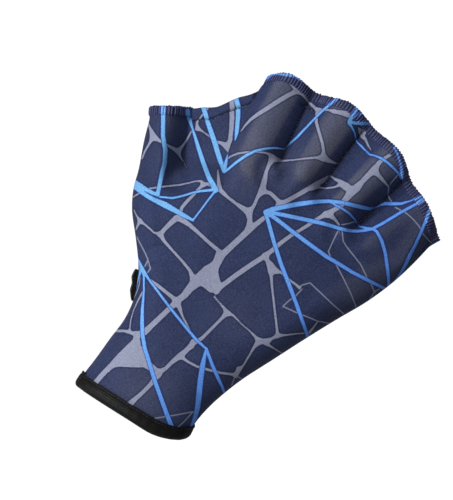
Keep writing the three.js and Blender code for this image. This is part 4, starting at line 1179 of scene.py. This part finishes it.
# A level ring round both panels near the cuff, and its outward direction
def cuffRing(z, count):
    base = 0.5 - 0.5 * np.cos(np.linspace(0, np.pi, 600))
    places = np.concatenate([base, base[::-1]])
    palm = np.concatenate([np.zeros(600, bool), np.ones(600, bool)])
    length = (planPoint(places, 0.05)[:, 1] - planPoint(places, 0)[:, 1]) / 0.05
    t = np.clip((z - glove["foot"]) / length, 0, 1)
    ring = np.where(palm[:, None], clothPoint(places, t, True, False), clothPoint(places, t, False, False))
    closed = np.vstack([ring, ring[:1]])
    s = np.concatenate([[0], np.cumsum(np.linalg.norm(np.diff(closed[:, :2], axis=0), axis=1))])
    share = np.linspace(0, s[-1], count, endpoint=False)
    xy = np.stack([np.interp(share, s, closed[:, k]) for k in (0, 1)], -1)
    for _ in range(6):
        xy = (np.roll(xy, 1, 0) + 2 * xy + np.roll(xy, -1, 0)) / 4
    along = np.roll(xy, -1, 0) - np.roll(xy, 1, 0)
    normal = np.stack([along[:, 1], -along[:, 0]], -1)
    normal /= np.linalg.norm(normal, axis=1, keepdims=True)
    if (normal * (xy - xy.mean(0))).sum() < 0:
        normal = -normal
    return xy, normal, share


# The tape's section as a closed path of (off, z): down the outside, round the fold and up the
# inside, then back along the tape's own inner face
def tapeSection():
    thick, inset, top, bulge = tape["thick"], tape["inset"], tape["height"], tape["bulge"]
    turn = np.linspace(0, np.pi, 15)
    outside = 0.25 + thick + bulge
    half = (inset + outside) / 2
    centre = outside - half
    skin = [(0.25 + thick * 0.7, top), (0.25 + thick * 1.15, top - 0.12), (0.25 + thick * 1.3, top - .45),
            (0.25 + thick * 1.15, top - .8), (0.25 + thick * 0.85, top - 1.0),
            (0.25 + thick * 1.25, top - 1.3), (outside - 0.25, top - 1.9), (outside - 0.05, top - 2.7),
            (outside, 2.6)]
    skin += [(centre + half * math.cos(a), 1.7 - (1.7 - tape["low"]) * math.sin(a)) for a in turn]
    skin += [(centre - half, 3.0), (centre - half + 0.05, top - 0.3), (centre - half + 0.3, top)]
    inside = [(centre - half + thick, top - 0.3), (centre - half + thick, 2.4),
              (centre - 0.4, 0.9), (0.22, 2.0), (0.22, top - 0.3)]
    return np.array(skin + inside)


section = tapeSection()
tapeRings = []
for off, z in section:
    xy, normal, share = cuffRing(max(z, 1.2), tape["columns"])
    angle = share / share[-1] * 2 * np.pi
    wave = 0.10 * np.sin(angle * 7 + 1) + 0.06 * np.sin(angle * 17)
    lap = ease(0.0, 0.02, share / share[-1]) * (1 - ease(0.035, 0.04, share / share[-1]))
    upHere = ease(3, 5, z)
    ends = (0.6 * np.exp(-((xy[:, 0] - xy[:, 0].max()) / 3) ** 2)
            + 0.25 * np.exp(-((xy[:, 0] - xy[:, 0].min()) / 3) ** 2))
    offHere = off * (1 - (ends if off > 0.5 else 0)) + (0.5 * lap if off > 0 else 0)
    offHere = offHere + 0.05 * np.sin(angle * 31)
    zHere = z + upHere * (wave + 0.9 * lap)
    zHere = zHere + cuffShift(xy[:, 0], xy[:, 1], z)
    tapeRings.append(np.column_stack([xy + normal * offHere[:, None], zHere]))
tapeGrid = np.stack(tapeRings)
rows, columns = tapeGrid.shape[:2]
tapeVertices = tapeGrid.reshape(-1, 3)
tapeFaces = gridFaces(rows, columns, loopRows=True, loopColumns=True).tolist()
tapeObj = newPiece("cuff_tape", tapeVertices, outwards(tapeVertices, tapeFaces), tapeCloth,
                   "cuff_binding")
sectionS = np.concatenate([[0], np.cumsum(np.linalg.norm(np.diff(section, axis=0), axis=1))])
tapeUv = np.stack(np.broadcast_arrays(share[None, :], sectionS[:, None]), -1)
addUv(tapeObj, tapeUv.reshape(-1, 2))

# Short bowed stitches round the tape, a millimetre below its top edge
rowZ = tape["height"] - 1
xy, normal, share = cuffRing(rowZ, stitch["tapeCount"])
steps = np.linspace(-0.5, 0.5, 5) * stitch["tapeLength"]
level = np.zeros(stitch["tapeCount"])
tangent = np.column_stack([-normal[:, 1], normal[:, 0], level])
normal3 = np.column_stack([normal, level])
stitchZ = rowZ + cuffShift(xy[:, 0], xy[:, 1], rowZ)
centre = np.column_stack([xy, stitchZ]) + normal3 * (0.25 + tape["thick"] * 0.9)
paths = (centre[:, None] + tangent[:, None] * steps[None, :, None]
         + normal3[:, None] * (0.12 - 0.3 * (2 * steps / stitch["tapeLength"]) ** 2)[None, :, None])
tapeStitchVertices, tapeStitchFaces, _ = tubes(paths, np.repeat(normal3[:, None], 5, 1),
                                               stitch["tapeRadius"], 5)
newPiece("tape_stitches", tapeStitchVertices, outwards(tapeStitchVertices, tapeStitchFaces),
         blackThread)
print("tape made")

strap = {"width": 14.0, "thick": 2.0, "height": 52.0, "end": 2.9, "gap": 0.25, "columns": 130,
         "rows": 31, "lobes": (0.30, 0.88, 0.80, 1.0, 0.50)}


# The strap's two skins over the palm: u runs to the thumb's side, w up its width. Its edges are
# round, and the last part leaves the palm and stands past the glove's edge in soft lobes.
def strapSkin(top):
    u = np.linspace(0, 1, strap["columns"])[None, :]
    w = np.linspace(-1, 1, strap["rows"])[:, None]
    z = strap["height"] + w * strap["width"] / 2 + 0.25 * np.sin(u * 11)
    heights = np.linspace(-1, 1, 5)
    lobe = np.interp(w, np.linspace(-1, 1, 60), atShare(smoothCurve(
        np.column_stack([heights, strap["lobes"]]), 30), np.linspace(0, 1, 60))[:, 1]) * strap["end"]
    zz = np.broadcast_to(z, (strap["rows"], strap["columns"]))
    edge = np.interp(zz, leftCurve[:, 1], leftCurve[:, 0])
    start = np.interp(zz, rightCurve[:, 1], rightCurve[:, 0]) - glove["wall"]
    onPanel = np.clip(u / 0.93, 0, 1)
    x = start + (edge + 3.2 - start) * (onPanel - 0.1 * np.sin(2 * np.pi * onPanel))
    across, t = gridPlace(x, zz)
    point, normal = clothFrame(across, t, True, detail=False)
    rounding = np.sqrt(np.clip(1 - np.abs(w) ** 5, 0, 1))
    off = strap["gap"] + (strap["thick"] * (0.25 + 0.75 * rounding) if top else 0.0)
    body = point + normal * np.broadcast_to(off, zz.shape)[..., None]
    leave = np.clip((u - 0.93) / 0.07, 0, 1)
    tip = np.stack([edge - lobe, middleDepth(0 * zz, t) + 4.6 + 0 * zz, zz], -1)
    if top:
        tip = tip + np.array([-0.35, 0.94, 0]) * (off - strap["gap"])[..., None]
    share = ease(0, 1, leave) ** 0.8
    return body * (1 - share[..., None]) + tip * share[..., None]


strapTop, strapBottom = strapSkin(True), strapSkin(False)
strapTop[:, -1] = strapTop[:, -1] * 0.5 + strapBottom[:, -1] * 0.5
rows, columns = strapTop.shape[:2]
strapVertices = np.concatenate([strapTop.reshape(-1, 3), strapBottom.reshape(-1, 3)])
ids = np.arange(rows * columns).reshape(rows, columns)
strapFaces = gridFaces(rows, columns).tolist()
strapFaces += gridFaces(rows, columns, rows * columns, flip=True).tolist()
for line, flip in ((ids[0], True), (ids[-1], False), (ids[:, 0], False), (ids[:, -1], True)):
    a, b = line[:-1], line[1:]
    quads = np.stack([a, b, b + rows * columns, a + rows * columns], -1)
    strapFaces += (quads[:, ::-1] if not flip else quads).tolist()
strapObj = newPiece("wrist_band", strapVertices, outwards(strapVertices, strapFaces), strapCloth,
                    "wrist_strap")
length = np.cumsum(np.linalg.norm(np.diff(strapTop, axis=1, prepend=strapTop[:, :1]), axis=-1), 1)
strapUv = np.stack([length, np.broadcast_to(np.linspace(0, 15, rows)[:, None], length.shape)], -1)
addUv(strapObj, np.tile(strapUv.reshape(-1, 2), (2, 1)))
print("strap made")

# A pale floor well below the glove, soft light from the front and upper left, and a white room
floorMaterial, *_ = startMaterial("floor_paint", {
    "Base Color": (.93, .93, .93, 1), "Roughness": 0.9, "Specular IOR Level": 0.1})
bpy.ops.mesh.primitive_plane_add(size=1.1, location=(0, 0, -0.16))
floor = bpy.context.object
floor.name = "floor"
floor.data.materials.append(floorMaterial)

scene = bpy.context.scene
scene.view_settings.view_transform = "Standard"
world = bpy.data.worlds.new("room")
scene.world = world
world.use_nodes = True
roomTree = world.node_tree
roomTree.nodes.clear()
seen = addNode(roomTree, "Background", {"Color": (1, 1, 1, 1), "Strength": 1.05})
glow = addNode(roomTree, "Background", {"Color": (.96, .97, 1, 1), "Strength": 0.11})
straight = addNode(roomTree, "LightPath").outputs["Is Camera Ray"]
mixed = addNode(roomTree, "MixShader", {0: straight, 1: glow.outputs[0], 2: seen.outputs[0]})
addNode(roomTree, "OutputWorld", {"Surface": mixed.outputs[0]})


# A rectangular lamp turned towards the point it is aimed at
def softLight(name, place, aim, size, power):
    data = bpy.data.lights.new(name, "AREA")
    data.shape, data.energy = "RECTANGLE", power
    data.size, data.size_y = size
    lamp = bpy.data.objects.new(name, data)
    scene.collection.objects.link(lamp)
    lamp.location = place
    lamp.rotation_euler = (Vector(aim) - Vector(place)).to_track_quat("-Z", "Y").to_euler()


softLight("key", (-0.88, -0.94, 0.08), (0.0, 0, 0.09), (0.42, 0.42), 18)
softLight("fill", (0.1, -1.4, 0.3), (0.02, 0, 0.09), (0.9, 0.9), 2.2)
softLight("top", (0.0, -0.35, 1.2), (0.0, 0, 0.09), (0.9, 0.6), 1.6)
softLight("rear", (-0.3, 1.2, 0.7), (0.0, 0, 0.09), (1.0, 1.0), 7)

# Straight at the back of the hand, turned so that the fingers point up to the right
view = {"lens": 188.0, "sensor": 36.0, "turn": 27.5, "aside": 0.0041, "away": 1.2, "up": 0.0857}
cameraData = bpy.data.cameras.new("camera")
cameraData.sensor_fit, cameraData.lens = "VERTICAL", view["lens"]
cameraData.sensor_width = cameraData.sensor_height = view["sensor"]
camera = bpy.data.objects.new("camera", cameraData)
scene.collection.objects.link(camera)
scene.camera = camera
roll = math.radians(view["turn"])
camera.matrix_world = Matrix((
    (math.cos(roll), -math.sin(roll), 0, view["aside"]), (0, 0, -1, -view["away"]),
    (math.sin(roll), math.cos(roll), 0, view["up"]), (0, 0, 0, 1)))
print("light and camera set")
